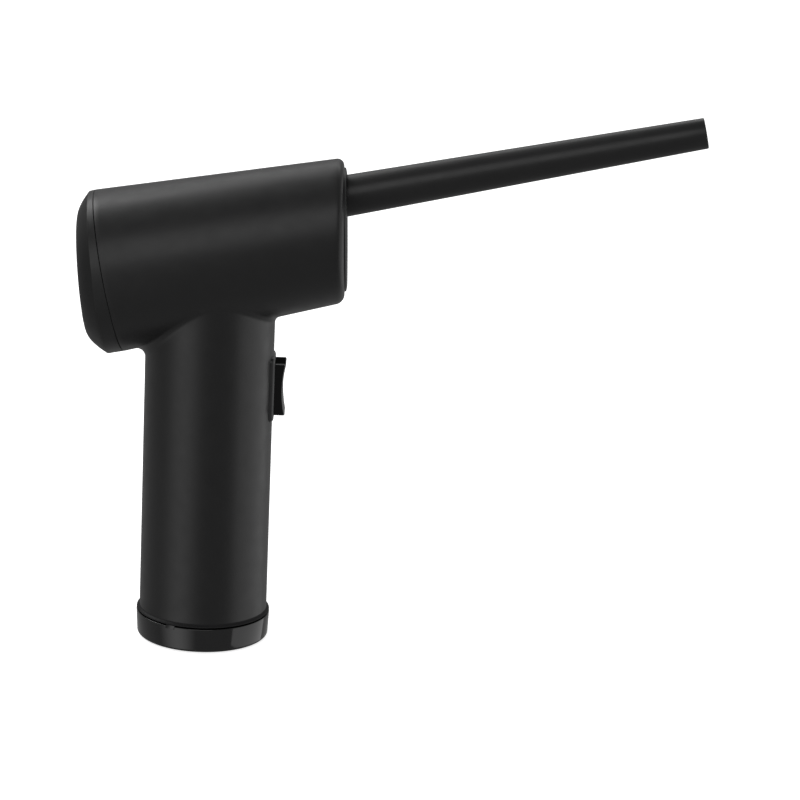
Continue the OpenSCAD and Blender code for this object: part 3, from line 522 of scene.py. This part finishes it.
rows, clear = 44, 0.7
sheet_points = list(hole)
hole_edge = [(k, (k + 1) % len(hole)) for k in range(len(hole))]
for i in range(rows + 1):
    for turn in turns + [math.pi]:
        p = Vector((length * i / rows, turn * sheet_r))
        if not in_hole(p, clear):
            sheet_points.append(p)
sheet = geometry.delaunay_2d_cdt(sheet_points, hole_edge, [], 0, 1e-6)
flat, triangles = sheet[0], sheet[2]
side = []
for p in flat:
    turn = p.y / sheet_r
    ahead = behind_front(turn, front_round)
    side.append(on_barrel(rim_u + p.x / length * (ahead - rim_u), turn))
numbers = add_ring(side)
for face in triangles:
    middle = sum((flat[i] for i in face), Vector((0, 0))) / 3
    if not in_hole(middle):
        skin_faces.append([numbers[i] for i in face])

# The rear rim, the rounded front corner and the flat front face
rings = [add_ring([on_barrel(rim_u, t) for t in turns])]
for a in (0.5, 1.05, math.pi / 2):
    u = rim_u - rim_round * math.sin(a)
    r = barrel_r(seam_u) - rim_round + rim_round * math.cos(a)
    rings.append(add_ring([off_axis(u, r, t) for t in turns]))
rings.append(add_ring([axis_low + forward * seam_u]) * columns)
skin_faces += skinned(rings)
front_rings = [front_ring(front_round * (1 - math.sin(math.pi / 2 * i / 8))) for i in range(9)]
front_rings.append([p.lerp(front_middle, 0.3) for p in front_rings[-1]])
rings = [add_ring(r) for r in front_rings]
rings.append(add_ring([front_middle]) * columns)
skin_faces += skinned(rings)

# The junction's radius, the handle's side and the flared lip
rings = []
for i in range(7):
    ring = []
    for middle, a, b in zip(roll, touch_barrel, touch_handle):
        blend = (a - middle).lerp(b - middle, i / 6).normalized() * junction_round
        ring.append(middle + blend)
    rings.append(add_ring(ring))
level_z = 98
for share in (0.12, 0.3, 0.55, 0.8, 1.0):
    rings.append(add_ring([Vector((p.x, p.y, p.z + (level_z - p.z) * share)) for p in touch_handle]))


def handle_ring(r, z):
    """A level ring of the handle's side."""
    return add_ring([Vector((p.x * r / handle_r, p.y * r / handle_r, z)) for p in touch_handle])


rings += [handle_ring(handle_r, z) for z in (90, 80, 70, 60, 50, 40, 30, 22, 16)]
lip_low, lip_high, lip_r, lip_edge = 9.85, 11.0, 24.55, 0.1
for i in range(9):
    swell = (lip_r - handle_r) / 2 * (1 - math.cos(math.pi * i / 8))
    rings.append(handle_ring(handle_r + swell, lip_high - (lip_high - lip_low - lip_edge) * i / 8))
rings.append(handle_ring(lip_r - 0.12, lip_low))
rings.append(add_ring([Vector((0, 0, lip_low))]) * handle_columns)
skin_faces += skinned(rings)

housing = add_mesh("housing_shell", (skin_points, skin_faces))

# The hollows of the barrel and the handle
cavity_u, front_wall = seam_u - 1, 2.4
cavity_points = [on_barrel(cavity_u, t, wall) for t in turns]
cavity_points += [on_barrel(behind_front(t, front_wall, wall), t, wall) for t in turns]
cavity_points += [axis_low + forward * cavity_u, front_middle - front_axis * front_wall]
rear_tip, front_tip = [2 * columns] * columns, [2 * columns + 1] * columns
cavity_rings = [rear_tip, list(range(columns)), list(range(columns, 2 * columns)), front_tip]
cut(housing, (cavity_points, skinned(cavity_rings)))
cut(housing, rod(handle_in, 9, 145, steps=handle_columns))

# The bosses for the base screws, the stops over the battery pack and the rails of the control board
bosses = [rod(2.8, 13.95, 27.95, at) for at in screw_turns]
stops = [block((18.6, -2, 76.3), (22.3, 2, 79.3), turned(a)) for a in screw_angles]
rails = [block((-22.6, y, z), (-18.9, y + 1.2, z + 3)) for z in (83.2, 107.2) for y in (-4.48, -1.58)]
cut(housing, joined(*bosses, *stops, *rails), "UNION")
cut(housing, joined(*[rod(1.0, 9, 26, at) for at in screw_turns]))


def rounded(width, height, corner, x, middle, steps=6):
    """The outline of a rounded rectangle square to X, with its middle at this height."""
    ring = []
    for q in range(4):
        y = (width / 2 - corner) * (1 if q in (0, 3) else -1)
        z = (height / 2 - corner) * (1 if q < 2 else -1)
        for i in range(steps + 1):
            a = math.pi / 2 * (q + i / steps)
            ring.append(Vector((x, y + corner * math.cos(a), middle + z + corner * math.sin(a))))
    return ring


def stepped(middle, *sizes):
    """A solid along X through rounded rectangles, each given as (width, height, corner, x)."""
    return lofted([rounded(*size, middle) for size in sizes])


# The openings for the switch, the charging port, the indicator's lens and the nozzle
switch_z, bezel_back, bezel_face = 96.0, 22.2, 24.1
port_z, lens_z, nozzle_up = 95.5, 104.5, 12.2
cut(housing, stepped(
    switch_z, (13.3, 22.0, 0.6, 15), (13.3, 22.0, 0.6, bezel_back),
    (14.8, 24.6, 2.1, bezel_back), (14.8, 24.6, 2.1, 25)))
cut(housing, stepped(
    port_z, (4.6, 10.3, 2.29, -24.5), (4.6, 10.3, 2.29, -23.3),
    (3.5, 9.2, 1.74, -22.7), (3.5, 9.2, 1.74, -20.5)))
to_rear = Matrix.Translation((-handle_r, 0, lens_z)) @ Matrix.Rotation(math.pi / 2, 4, "Y")
lens_hole = [(0, -1), (1.6, -1), (1.6, 0.05), (1.25, 0.4), (1.25, 3), (0, 3)]
cut(housing, spun(lens_hole, to_rear, 48))
nozzle_hole = rod(7.6, 39, 64, in_barrel(0, nozzle_up), 96)
cut(housing, nozzle_hole)

# The plastic is rubbed a little lighter on its edges. The turned-out lip gets a painted tone: a lighter copy
# of the plastic that barely reflects. It hides the highlight the flare would catch and keeps the handle's
# shading.
deep_black = (0.0045, 0.0045, 0.0047)
textured_black = moulded(
    "textured_black", deep_black, 0.38, grain=0.28, depth=0.008, mottle=0.08, worn=0.6, spec=0.4)
lip_highlight_painted_out = moulded(
    "lip_highlight_painted_out", (0.015, 0.015, 0.0155), 0.5, grain=0.28, depth=0.008, mottle=0.08, spec=0.07)
shade(housing, textured_black, 30)
# The lip's faces take the painted tone in place of the plastic's own sheen
housing.data.materials.append(lip_highlight_painted_out)
for face in housing.data.polygons:
    middle = face.center / MM
    if lip_low - 0.05 < middle.z < lip_high and middle.xy.length > handle_r - 0.1:
        face.material_index = 1
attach(housing, "body")
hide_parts("barrel_shell", "handle_shell")

# ---- Front plate ----
# A thin round plate of satin black plastic is pressed onto the leaning front face, with a rolled rim.
# The nozzle comes through it above the middle.


def leaning(u, lean):
    """The frame of a plane across the barrel's axis at this length, whose normal dips by this angle."""
    return in_barrel(u) @ Matrix.Rotation(lean, 4, "Y")


satin_black = moulded(
    "satin_black", deep_black, 0.38, grain=0.35, depth=0.005, mottle=0.08, worn=0.6, spec=0.4)
plate_r, rim_in, plate_top = 22.4, 20.6, 0.45
plate_profile = [(0, 0.0), (plate_r, 0.0)] + arc(plate_r - 0.4, 0.3, 0.4, 0, 90, 5)
plate_profile += arc(rim_in, 0.7, 0.3, 90, 180, 3) + [(rim_in - 0.5, plate_top), (0, plate_top)]
front_plate = add_mesh("front_plate_disc", spun(plate_profile, leaning(front_u, front_lean), 160))
cut(front_plate, nozzle_hole)
shade(front_plate, satin_black)
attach(front_plate, "body")
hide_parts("front_plate")

# ---- Nozzle ----
# A long tapered tube in one satin black moulding. Its straight root slides over the spigot behind the
# front plate, and its open tip has a straight bore for adapters and a slightly rounded mouth.
nozzle_back, nozzle_root, nozzle_tip = 45.97, 50.77, 182.87
root_r, root_in, bore_r = 7.5, 6.4, 4.4
narrowing, cone_length, mouth_round = 1.9, 131.0, 0.4
nozzle_profile = (
    [(root_r - 0.2, nozzle_back), (root_r, nozzle_back + 0.2), (root_r, nozzle_root + 0.7)]
    + [(root_r - narrowing * i / 12, nozzle_root + 0.7 + cone_length * i / 12) for i in range(1, 13)]
    + arc(5.2, nozzle_tip - mouth_round, mouth_round, 0, 90, 4)
    + arc(4.8, nozzle_tip - mouth_round, mouth_round, 90, 180, 4)
    + [(bore_r, nozzle_tip - 15), (5.8, nozzle_back + 15.2), (root_in, nozzle_back + 14.8)]
    + [(root_in, nozzle_back + 0.6), (root_in + 0.4, nozzle_back)]
)
nozzle = add_mesh("nozzle_tube", spun(nozzle_profile, in_barrel(0, nozzle_up), 96, closed=True))
shade(nozzle, satin_black)
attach(nozzle, "nozzle")
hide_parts("nozzle")

# ---- Rear cover ----
# The intake cover plugs into the barrel's rear end with a thin skirt. A plain band runs back from the
# seam to a leaning edge, and a rounded corner leads from that edge to the flat slotted face.
cover_steps = 160
on_axis = in_barrel()
at_edge = leaning(-41.8, math.radians(3.75))
at_rear = leaning(-43.0, math.radians(5.2))
at_back = leaning(-43.0, math.radians(5.9))


def cover_ring(at, r, z):
    """A ring of the cover's skin."""
    return circle(r, z, at, cover_steps)


edge_r, corner_r, flat_r, dome, cover_front = 29.64, 24.4, 20.9, 4.72, -37.82
seam_side = ((29.2, 0), (29.5, 0), (29.62, -0.05), (29.68, -0.2))
cover_rings = [cover_ring(on_axis, r, cover_front + z) for r, z in seam_side]
seam_ring, edge_ring = cover_rings[-1], cover_ring(at_edge, edge_r, 0)
cover_rings += [[a.lerp(b, s) for a, b in zip(seam_ring, edge_ring)] for s in (0.3, 0.7, 0.985)]
bends = list(zip(edge_ring, cover_ring(at_back, corner_r, -dome), cover_ring(at_back, flat_r, -dome)))
for s in (0.006, 0.1, 0.2, 0.3, 0.4, 0.5, 0.6, 0.7, 0.8, 0.9, 1):
    cover_rings.append([a.lerp(b, s).lerp(b.lerp(c, s), s) for a, b, c in bends])
cover_rings += [cover_ring(at_back, r, -dome) for r in (18.5, 9.5)]
cover = add_mesh("intake_cover", lofted(cover_rings))

# The skirt, the hollow inside it and the pocket for the foam
skirt_in, pocket_r, pocket_floor = 24.53, 23.6, -2.9
skirt_profile = [
    (24.3, -40.5), (25.8, -40.5), (26.03, -33.3), (25.7, -32.72), (24.9, -32.72), (skirt_in, -33.1)]
cut(cover, spun(skirt_profile, on_axis, cover_steps, closed=True), "UNION")
cut(cover, rod(skirt_in, -41.1, -32, on_axis, cover_steps))
cut(cover, rod(pocket_r, pocket_floor, 6, at_rear, cover_steps))


def stadium(near, far, width, low, high, at, steps=8):
    """A round-ended slot along local X, cut from this height to that, with a wider mouth at the low end."""
    flare = 0.35
    rings = []
    for z, grow in ((low, flare), (low + 1.35, flare), (low + 1.7, 0.0), (high, 0.0)):
        half = width / 2 + grow
        ring = []
        for end, way in ((far, -1), (near, 1)):
            for i in range(steps + 1):
                a = math.pi * i / steps + way * math.pi / 2
                ring.append(at @ Vector((end + half * math.cos(a), half * math.sin(a), z)))
        rings.append(ring)
    return lofted(rings)


slots, slot_w = [], 1.7
for count, near, far in ((24, 12.2, 17.4), (12, 4.9, 9.9)):
    for k in range(count):
        place = at_back @ Matrix.Rotation(math.tau * k / count, 4, "Z")
        slots.append(stadium(near, far, slot_w, -dome - 1, -2.0, place))
cut(cover, joined(*slots))

# The slotted face and its rounded corner have a duller skin than the band
dull_black = moulded(
    "dull_black", deep_black, 0.45, grain=0.28, depth=0.008, mottle=0.08, worn=0.3, spec=0.25)
shade(cover, textured_black, 20)
cover.data.materials.append(dull_black)
for face in cover.data.polygons:
    if (at_edge.inverted() @ (face.center / MM)).z < 0:
        face.material_index = 1
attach(cover, "cover")
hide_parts("rear_cover")

# ---- Filter and its frame ----
# A disc of open-cell foam, rough with open pores, is cut to fit behind the slots. A snap-in frame with
# four arms holds it there. The guard and the ducts of the fan unit are moulded in the same dark grey.


def foam(name, outline, low, high, swell, pores, at=Matrix()):
    """A crowned slab of cut foam with rounded edges, whose skin is pitted this deep with small pores."""
    half, middle = (high - low) / 2, Vector((0, 0, (low + high) / 2))
    edge_share, edge_drop = 0.03, 0.6
    slope = [(s / 40, half - swell * (s / 40) ** 2) for s in range(1, 39)]
    for a in (0.2, 0.5, 0.8, 1.1, 1.4):
        slope.append((1 - edge_share * (1 - math.sin(a)), half - swell - edge_drop * (1 - math.cos(a))))
    rings = [[p * s + middle - Vector((0, 0, z)) for p in outline] for s, z in slope]
    rings += [[p * s + middle + Vector((0, 0, z)) for p in outline] for s, z in slope[::-1]]
    slab = add_mesh(name, lofted(rings))
    skin = [(v.co / MM, v.normal.copy()) for v in slab.data.vertices]
    for v, (spot, out) in zip(slab.data.vertices, skin):
        pit = 0.6 * noise.noise(spot * 0.9) + 0.4 * noise.noise(spot * 2.3) - 0.5
        v.co = at @ (spot + out * pit * pores) * MM
    return slab


foam_grey = moulded("foam_grey", (0.05, 0.05, 0.054), 0.95, grain=0.9, depth=0.45, mottle=0.5, spec=0.15)
filter_r, filter_low, filter_high = 23.4, -2.8, 0.0
disc_outline = circle(filter_r, 0, steps=240)
filter_disc = foam("filter_foam_disc", disc_outline, filter_low, filter_high, 0.25, 0.14, at_rear)
shade(filter_disc, foam_grey, 80)
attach(filter_disc, "cover")
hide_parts("intake_filter")
inner_grey = moulded("inner_grey", (0.045, 0.045, 0.048), 0.5, grain=0.4, depth=0.008, mottle=0.08)
for name in ("filter_frame", "intake_guard", "fan_shroud", "outlet_duct"):
    shade(nodes[name], inner_grey)

# ---- Rocker switch ----
# A three-position rocker in a satin rectangular bezel, pressed into the front of the handle. The rocker is
# moulded in glossy black plastic, dished between its raised ends, and turns on a pin through the switch body.
open_w, open_h, bezel_w, bezel_h, bezel_corner = 10.3, 21.0, 14.6, 24.4, 2.0
bezel_sizes = [(13.1, 21.8, 0.5, 5.2), (13.1, 21.8, 0.5, bezel_back - 0.01)]
bezel_sizes.append((bezel_w, bezel_h, bezel_corner, bezel_back))
for a in (0, 0.3, 0.6, 0.9, 1.2, 1.5):
    inset, x = 1.4 * (1 - math.cos(a)), bezel_face - 1.5 + 1.5 * math.sin(a)
    bezel_sizes.append((bezel_w - 2 * inset, bezel_h - 2 * inset, bezel_corner - 0.7 * inset, x))
bezel_sizes.append((open_w + 0.7, open_h + 0.7, 0.9, bezel_face))
bezel_sizes.append((open_w + 0.2, open_h + 0.2, 0.65, bezel_face - 0.1))
bezel_sizes += [(open_w, open_h, 0.55, bezel_face - 0.35), (open_w, open_h, 0.55, 13.9)]
bezel = add_mesh("switch_bezel", stepped(switch_z, *bezel_sizes))
satin_bezel = moulded(
    "satin_bezel", (0.016, 0.016, 0.0165), 0.3, grain=0.5, depth=0.004, mottle=0.05, spec=0.4)
shade(bezel, satin_bezel, 40)
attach(bezel, "body")
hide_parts("switch_body")

# The rocker's outline from the side, with its dish at the front and its stem at the back
rocker_w, rocker_h, rocker_face, dish = 9.8, 19.8, 28.2, 1.1
half_h, rocker_back, stem_back = rocker_h / 2, 19.2, 15.8
dish_r = (half_h ** 2 + dish ** 2) / (2 * dish)
outline = [(rocker_back, -half_h), (rocker_face, -half_h)]
for i in range(1, 24):
    z = -half_h + rocker_h * i / 24
    outline.append((rocker_face - dish + dish_r - math.sqrt(dish_r ** 2 - z ** 2), z))
outline += [(rocker_face, half_h), (rocker_back, half_h), (rocker_back, half_h / 2), (stem_back, half_h / 2)]
outline += [(stem_back, -half_h / 2), (rocker_back, -half_h / 2)]
sides = [[Vector((x, y, switch_z + z)) for x, z in outline] for y in (-rocker_w / 2, rocker_w / 2)]
rocker = add_mesh("switch_rocker_cap", lofted(sides))
round_edges(rocker, 1.05, 4, 40)

# The dished face is glossy and the top and bottom ends are dull. The rounded long edges carry a painted
# highlight: a much lighter grey stands in for the light they catch.
rocker_gloss = moulded(
    "rocker_gloss", (0.0022, 0.0022, 0.0023), 0.2, grain=0.8, depth=0.003, mottle=0.05, spec=0.18)
rocker_end = moulded(
    "rocker_end", (0.009, 0.009, 0.009), 0.7, grain=0.3, depth=0.01, mottle=0.2, spec=0.0)
# A light grey painted on the rocker's rounded long edges as their highlight
rocker_painted_highlight = moulded("rocker_painted_highlight", (0.08, 0.08, 0.081), 0.35, grain=0.4, depth=0.004, mottle=0.15)
shade(rocker, rocker_gloss, 40)
rocker.data.materials.append(rocker_end)
rocker.data.materials.append(rocker_painted_highlight)
for face in rocker.data.polygons:
    if abs(face.normal.z) > 0.9 and abs(face.center.z / MM - switch_z) > half_h - 0.3:
        face.material_index = 1
    elif 0.15 < abs(face.normal.y) < 0.97:
        face.material_index = 2
at_pivot = Matrix.Translation((20.8, 0, switch_z)) @ Matrix.Rotation(math.pi / 2, 4, "X")
pivot = add_mesh("switch_pivot", rod(1.0, -6.0, 6.0, at_pivot))
shade(pivot, rocker_gloss)
for piece in (rocker, pivot):
    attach(piece, "rocker")
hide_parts("switch_rocker")
brass = moulded("terminal_brass", (0.62, 0.46, 0.2), 0.32, grain=0.2, depth=0.003, mottle=0.12, metal=1.0)
shade(nodes["switch_terminals"], brass)

# ---- Charging port and indicator ----
# A socket pressed from thin steel sits upright in the rear of the handle, with a moulded tongue inside it.
# Above it, a small domed lens of clear plastic is pushed into its hole over the charge light.
port = add_mesh("charging_socket", stepped(
    port_z, (3.26, 8.94, 1.62, -15.8), (3.26, 8.94, 1.62, -23.1),
    (2.66, 8.34, 1.32, -23.1), (2.66, 8.34, 1.32, -16.6)))
shade(port, plated_steel)
tongue = add_mesh("charging_tongue", block((-22.3, -0.35, port_z - 3.35), (-16.5, 0.35, port_z + 3.35)))
round_edges(tongue, 0.12)
shade(tongue, inner_grey)
for piece in (port, tongue):
    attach(piece, "body")
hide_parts("charging_port")

lens_r, lens_face, lens_back = 1.2, 0.06, 2.64
lens_profile = [(0, lens_face)]
for a in (0.3, 0.6, 0.9, 1.2, 1.5):
    lens_profile.append((lens_r * math.sin(a), lens_face + 0.35 * (1 - math.cos(a))))
lens_profile += [(lens_r, lens_back), (0, lens_back)]
lens = add_mesh("indicator_dome", spun(lens_profile, to_rear, 48))
lens_clear = moulded("lens_clear", (0.75, 0.8, 0.85), 0.25, grain=0.5, depth=0.003, mottle=0.04)
lens_clear.node_tree.nodes["Principled BSDF"].inputs["Transmission Weight"].default_value = 0.7
shade(lens, lens_clear)
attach(lens, "body")
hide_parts("indicator_lens")

# ---- Fan and motor ----
# A machined alloy impeller on a ground shaft, driven by a motor whose nine coils are wound on a stack
# of steel sheets in a turned can. Two rubber rings hold it in the barrel, free of the outer walls.
alloy = moulded("machined_alloy", (0.72, 0.72, 0.74), 0.28, grain=0.3, depth=0.004, mottle=0.08, metal=1.0)
shade(nodes["impeller"], alloy)
turned_alloy = moulded("turned_alloy", (0.5, 0.5, 0.52), 0.35, grain=0.2, depth=0.005, mottle=0.1, metal=1.0)
for name in ("motor_can", "motor_endbell"):
    shade(nodes[name], turned_alloy)
ground_steel = moulded("ground_steel", (0.6, 0.6, 0.6), 0.18, grain=0.12, depth=0.002, mottle=0.06, metal=1.0)
for name in ("motor_shaft", "motor_bearings"):
    shade(nodes[name], ground_steel)
magnet_grey = moulded("magnet_grey", (0.3, 0.3, 0.32), 0.3, grain=0.4, depth=0.004, mottle=0.1, metal=1.0)
shade(nodes["rotor_magnet"], magnet_grey)
core_grey = moulded("core_grey", (0.2, 0.2, 0.21), 0.5, grain=0.35, depth=0.02, mottle=0.15, metal=1.0)
shade(nodes["stator_core"], core_grey)

# One coil bulges with each of its five turns of wire, and nine stand round the stator
coil_in, coil_out, coil_middle = 7.7, 9.9, 6.0
coil_rings = []
for i in range(21):
    bulge = abs(math.sin(math.pi * i / 4))
    wide, tall = 3.3 + 0.25 * bulge, 14.0 + 0.3 * bulge
    coil_rings.append(rounded(wide, tall, 1.1, coil_in + 2.2 * i / 20, coil_middle))
coil_rings += [rounded(1.9, 12.1, 0.3, x, coil_middle) for x in (coil_out, coil_in)]
coils = []
for tooth in range(9):
    place = in_barrel(-3.1) @ Matrix.Rotation(math.tau * tooth / 9, 4, "Z")
    coils.append(lofted([[place @ p for p in ring] for ring in coil_rings], closed=True))
windings = add_mesh("wound_coils", joined(*coils))
copper = moulded("winding_copper", (0.6, 0.25, 0.1), 0.35, grain=0.5, depth=0.02, mottle=0.2, metal=1.0)
shade(windings, copper, 60)
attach(windings, "body")
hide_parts("motor_windings")
shade(nodes["guard_screws"], plated_steel)
mount_rubber = moulded("mount_rubber", (0.02, 0.02, 0.02), 0.85, grain=0.6, depth=0.02, mottle=0.2, spec=0.3)
for name in ("rear_mount", "front_mount"):
    shade(nodes[name], mount_rubber)
seal_red = moulded("seal_red", (0.3, 0.035, 0.03), 0.45, grain=0.5, depth=0.004, mottle=0.1)
shade(nodes["outlet_seal"], seal_red)

# ---- Battery pack ----
# Three steel cells in green sleeves, shrunk round their ends and into the groove below the button, stand
# between two moulded holders. The third stands on its head, and welded nickel straps join them in a row.
sleeve_green = moulded("sleeve_green", (0.06, 0.27, 0.17), 0.35, grain=0.7, depth=0.006, mottle=0.08)
cell_steel = moulded("cell_steel", (0.55, 0.55, 0.54), 0.25, grain=0.3, depth=0.003, mottle=0.08, metal=1.0)
sleeve_profile = [
    (6.6, 0), (8.5, 0), (8.85, 0.1), (9.05, 0.3), (9.14, 0.7), (9.14, 60.6), (9.02, 60.9), (8.8, 61.2),
    (8.8, 61.8), (9.02, 62.1), (9.14, 62.4), (9.14, 64.1), (9.0, 64.35), (8.7, 64.46), (7.4, 64.5),
    (7.4, 64.3), (8.6, 64.25), (8.9, 63.9), (8.9, 62.5), (8.65, 62), (8.65, 61), (8.9, 60.5),
    (8.9, 0.7), (8.5, 0.2), (6.6, 0.18)]
cell_h, cell_reach, pack_low = 65.0, 10.739, 7.7
steel_profile = [
    (0, 0), (6.4, 0), (6.6, 0.22), (8.4, 0.22), (8.8, 0.7), (8.8, 60.4), (8.55, 61), (8.55, 62),
    (8.8, 62.6), (8.8, 63.8), (8.5, 64.15), (4.6, 64.2), (4.3, 64.0), (3.95, 64.1), (3.8, 64.85),
    (3.6, cell_h), (0, cell_h)]
for i, head_down in enumerate((False, False, True)):
    stand = turned(90 + 120 * i) @ Matrix.Translation((cell_reach, 0, pack_low))
    if head_down:
        stand = stand @ Matrix.Translation((0, 0, cell_h)) @ Matrix.Rotation(math.pi, 4, "X")
    sleeve = add_mesh(f"cell_sleeve_{i + 1}", spun(sleeve_profile, stand, 96, closed=True))
    steel = add_mesh(f"cell_steel_{i + 1}", spun(steel_profile, stand, 96))
    shade(sleeve, sleeve_green)
    shade(steel, cell_steel)
    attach(sleeve, "body")
    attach(steel, "body")
    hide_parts(f"battery_cell_{i + 1}")
holder_white = moulded("holder_white", (0.6, 0.59, 0.55), 0.5, grain=0.4, depth=0.008, mottle=0.05)
for name in ("lower_holder", "upper_holder"):
    shade(nodes[name], holder_white)
nickel = moulded("nickel", (0.62, 0.6, 0.56), 0.25, grain=0.4, depth=0.004, mottle=0.1, metal=1.0)
shade(nodes["cell_straps"], nickel)

# ---- Battery pad ----
# A pad of closed-cell foam in the base cap presses the pack up against its stops. It is cut round, with
# three notches that clear the screw bosses, and its faces swell a little where nothing presses on them.
pad_r, notch_r, pad_low, pad_high = 19.6, 3, 2.25, 6.63
pad_outline = []
for k in range(240):
    turn = math.tau * k / 240
    aside = (turn + math.radians(30)) % (math.tau / 3) - math.pi / 3
    across = screw_reach * math.sin(aside)
    reach = pad_r
    if abs(across) < notch_r:
        reach = min(pad_r, screw_reach * math.cos(aside) - math.sqrt(notch_r ** 2 - across ** 2))
    pad_outline.append(Vector((math.cos(turn), math.sin(turn), 0)) * reach)
pad = foam("battery_foam_pad", pad_outline, pad_low, pad_high, 0.2, 0.1)
pad_foam = moulded("pad_foam", (0.08, 0.08, 0.082), 0.95, grain=0.7, depth=0.2, mottle=0.3, spec=0.15)
shade(pad, pad_foam, 80)
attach(pad, "body")
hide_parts("battery_pad")

# ---- Boards ----
# Both boards are glass fibre under green solder mask. The round protection board lies on the pack, and the
# control board stands in rails behind the switch, with its chips and one capacitor soldered on.
board_green = moulded("board_green", (0.015, 0.12, 0.05), 0.3, grain=0.8, depth=0.02, mottle=0.25)
for name in ("pack_board", "control_board"):
    shade(nodes[name], board_green)
chip_black = moulded("chip_black", (0.02, 0.02, 0.02), 0.5, grain=0.2, depth=0.006, mottle=0.1)
shade(nodes["board_chips"], chip_black)
can_blue = moulded("capacitor_blue", (0.05, 0.05, 0.12), 0.3, grain=0.5, depth=0.004, mottle=0.08)
shade(nodes["board_capacitor"], can_blue)

# ---- Wires ----
# Short insulated leads run in smooth bends: three from the motor through the duct's side to the control
# board, a red and a black one up from the pack, and two back from the switch.


def lead(name, points, finish, r=0.75, steps=6, sides=16):
    """A round lead along a smooth curve through these points."""
    path = []
    points = [Vector(p) for p in points]
    ends = [points[0] * 2 - points[1]] + points + [points[-1] * 2 - points[-2]]
    for a, b, c, d in zip(ends, ends[1:], ends[2:], ends[3:]):
        for i in range(steps):
            t = i / steps
            bend, swing = 2 * a - 5 * b + 4 * c - d, 3 * b - a - 3 * c + d
            path.append(0.5 * (2 * b + (c - a) * t + bend * t ** 2 + swing * t ** 3))
    path.append(points[-1])
    rings, across = [], None
    round_lead = [math.tau * k / sides for k in range(sides)]
    for before, here, after in zip(path[:1] + path, path, path[1:] + path[-1:]):
        along = (after - before).normalized()
        across = (across - along * across.dot(along) if across else along.orthogonal()).normalized()
        beside = along.cross(across)
        rings.append([here + r * (across * math.cos(t) + beside * math.sin(t)) for t in round_lead])
    piece = add_mesh(name, lofted(rings))
    shade(piece, finish)
    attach(piece, "body")
    return piece


wire_red = moulded("wire_red", (0.42, 0.03, 0.025), 0.4, grain=0.4, depth=0.004, mottle=0.08)
wire_black = moulded("wire_black", (0.02, 0.02, 0.02), 0.4, grain=0.4, depth=0.004, mottle=0.08)

# The control board's right face, its thickness, its front edge and its top
board_y, board_t, board_front, top = -3.23, 1.6, -3.8, 111.2
for i in (-1, 0, 1):
    y = i * 1.65
    end_x, end_y = board_front - 4.7 - 2 * i, board_y + board_t / 2
    in_duct = ((13.4, 8.2), (15.5, 8.2), (16.8, 9.6), (17.4, 13), (17.4, 20.965), (16.1, 23.515))
    route = [in_barrel(u, -low) @ Vector((0, y, 0)) for u, low in in_duct]
    route += [(19.6, y, top + 9.6), (16.5, y, top + 6.8), (9, y, top + 4.6), (0, y, top + 3.2)]
    route += [(board_front - 3 - 2 * i, y, top + 2.6), (board_front - 4.5 - 2 * i, end_y + y / 2, top + 1.6)]
    route += [(end_x, end_y, top + 0.8), (end_x, end_y, top + 0.02)]
    lead(f"motor_lead_{i + 2}", route, wire_red)
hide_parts("motor_wires")
pack_top = 76.2
for i, (finish, slot) in enumerate(((wire_red, "wire_red"), (wire_black, "wire_black"))):
    x = -7 - 5 * i
    route = [(x + 1, 5, pack_top), (x + 1, 5, pack_top + 2), (x + 0.5, 4.2, pack_top + 4.5)]
    route += [(x, 1.6, 84), (x, 0.2, 84.6), (x, board_y + board_t + 0.02, 84.6)]
    lead(f"pack_lead_{i + 1}", route, finish)
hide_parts("battery_wires")
for i in (-1, 1):
    z = switch_z + 6.4 * i
    route = [(2.2, 0, z + 1.17), (-1.3, 0.3, z + 1.17), (-2.8, 2, z + 1.1), (-3.8, 2.4, z + 1)]
    route += [(board_front - 1.2, 1.4, z + 1), (board_front - 1.8, 0, z + 1)]
    route.append((board_front - 1.8, board_y + board_t + 0.02, z + 1))
    lead(f"switch_lead_{(i + 3) // 2}", route, wire_black)
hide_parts("switch_wires")

# ---- Sizes ----
# The box round every shown piece, in metres.
low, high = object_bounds()
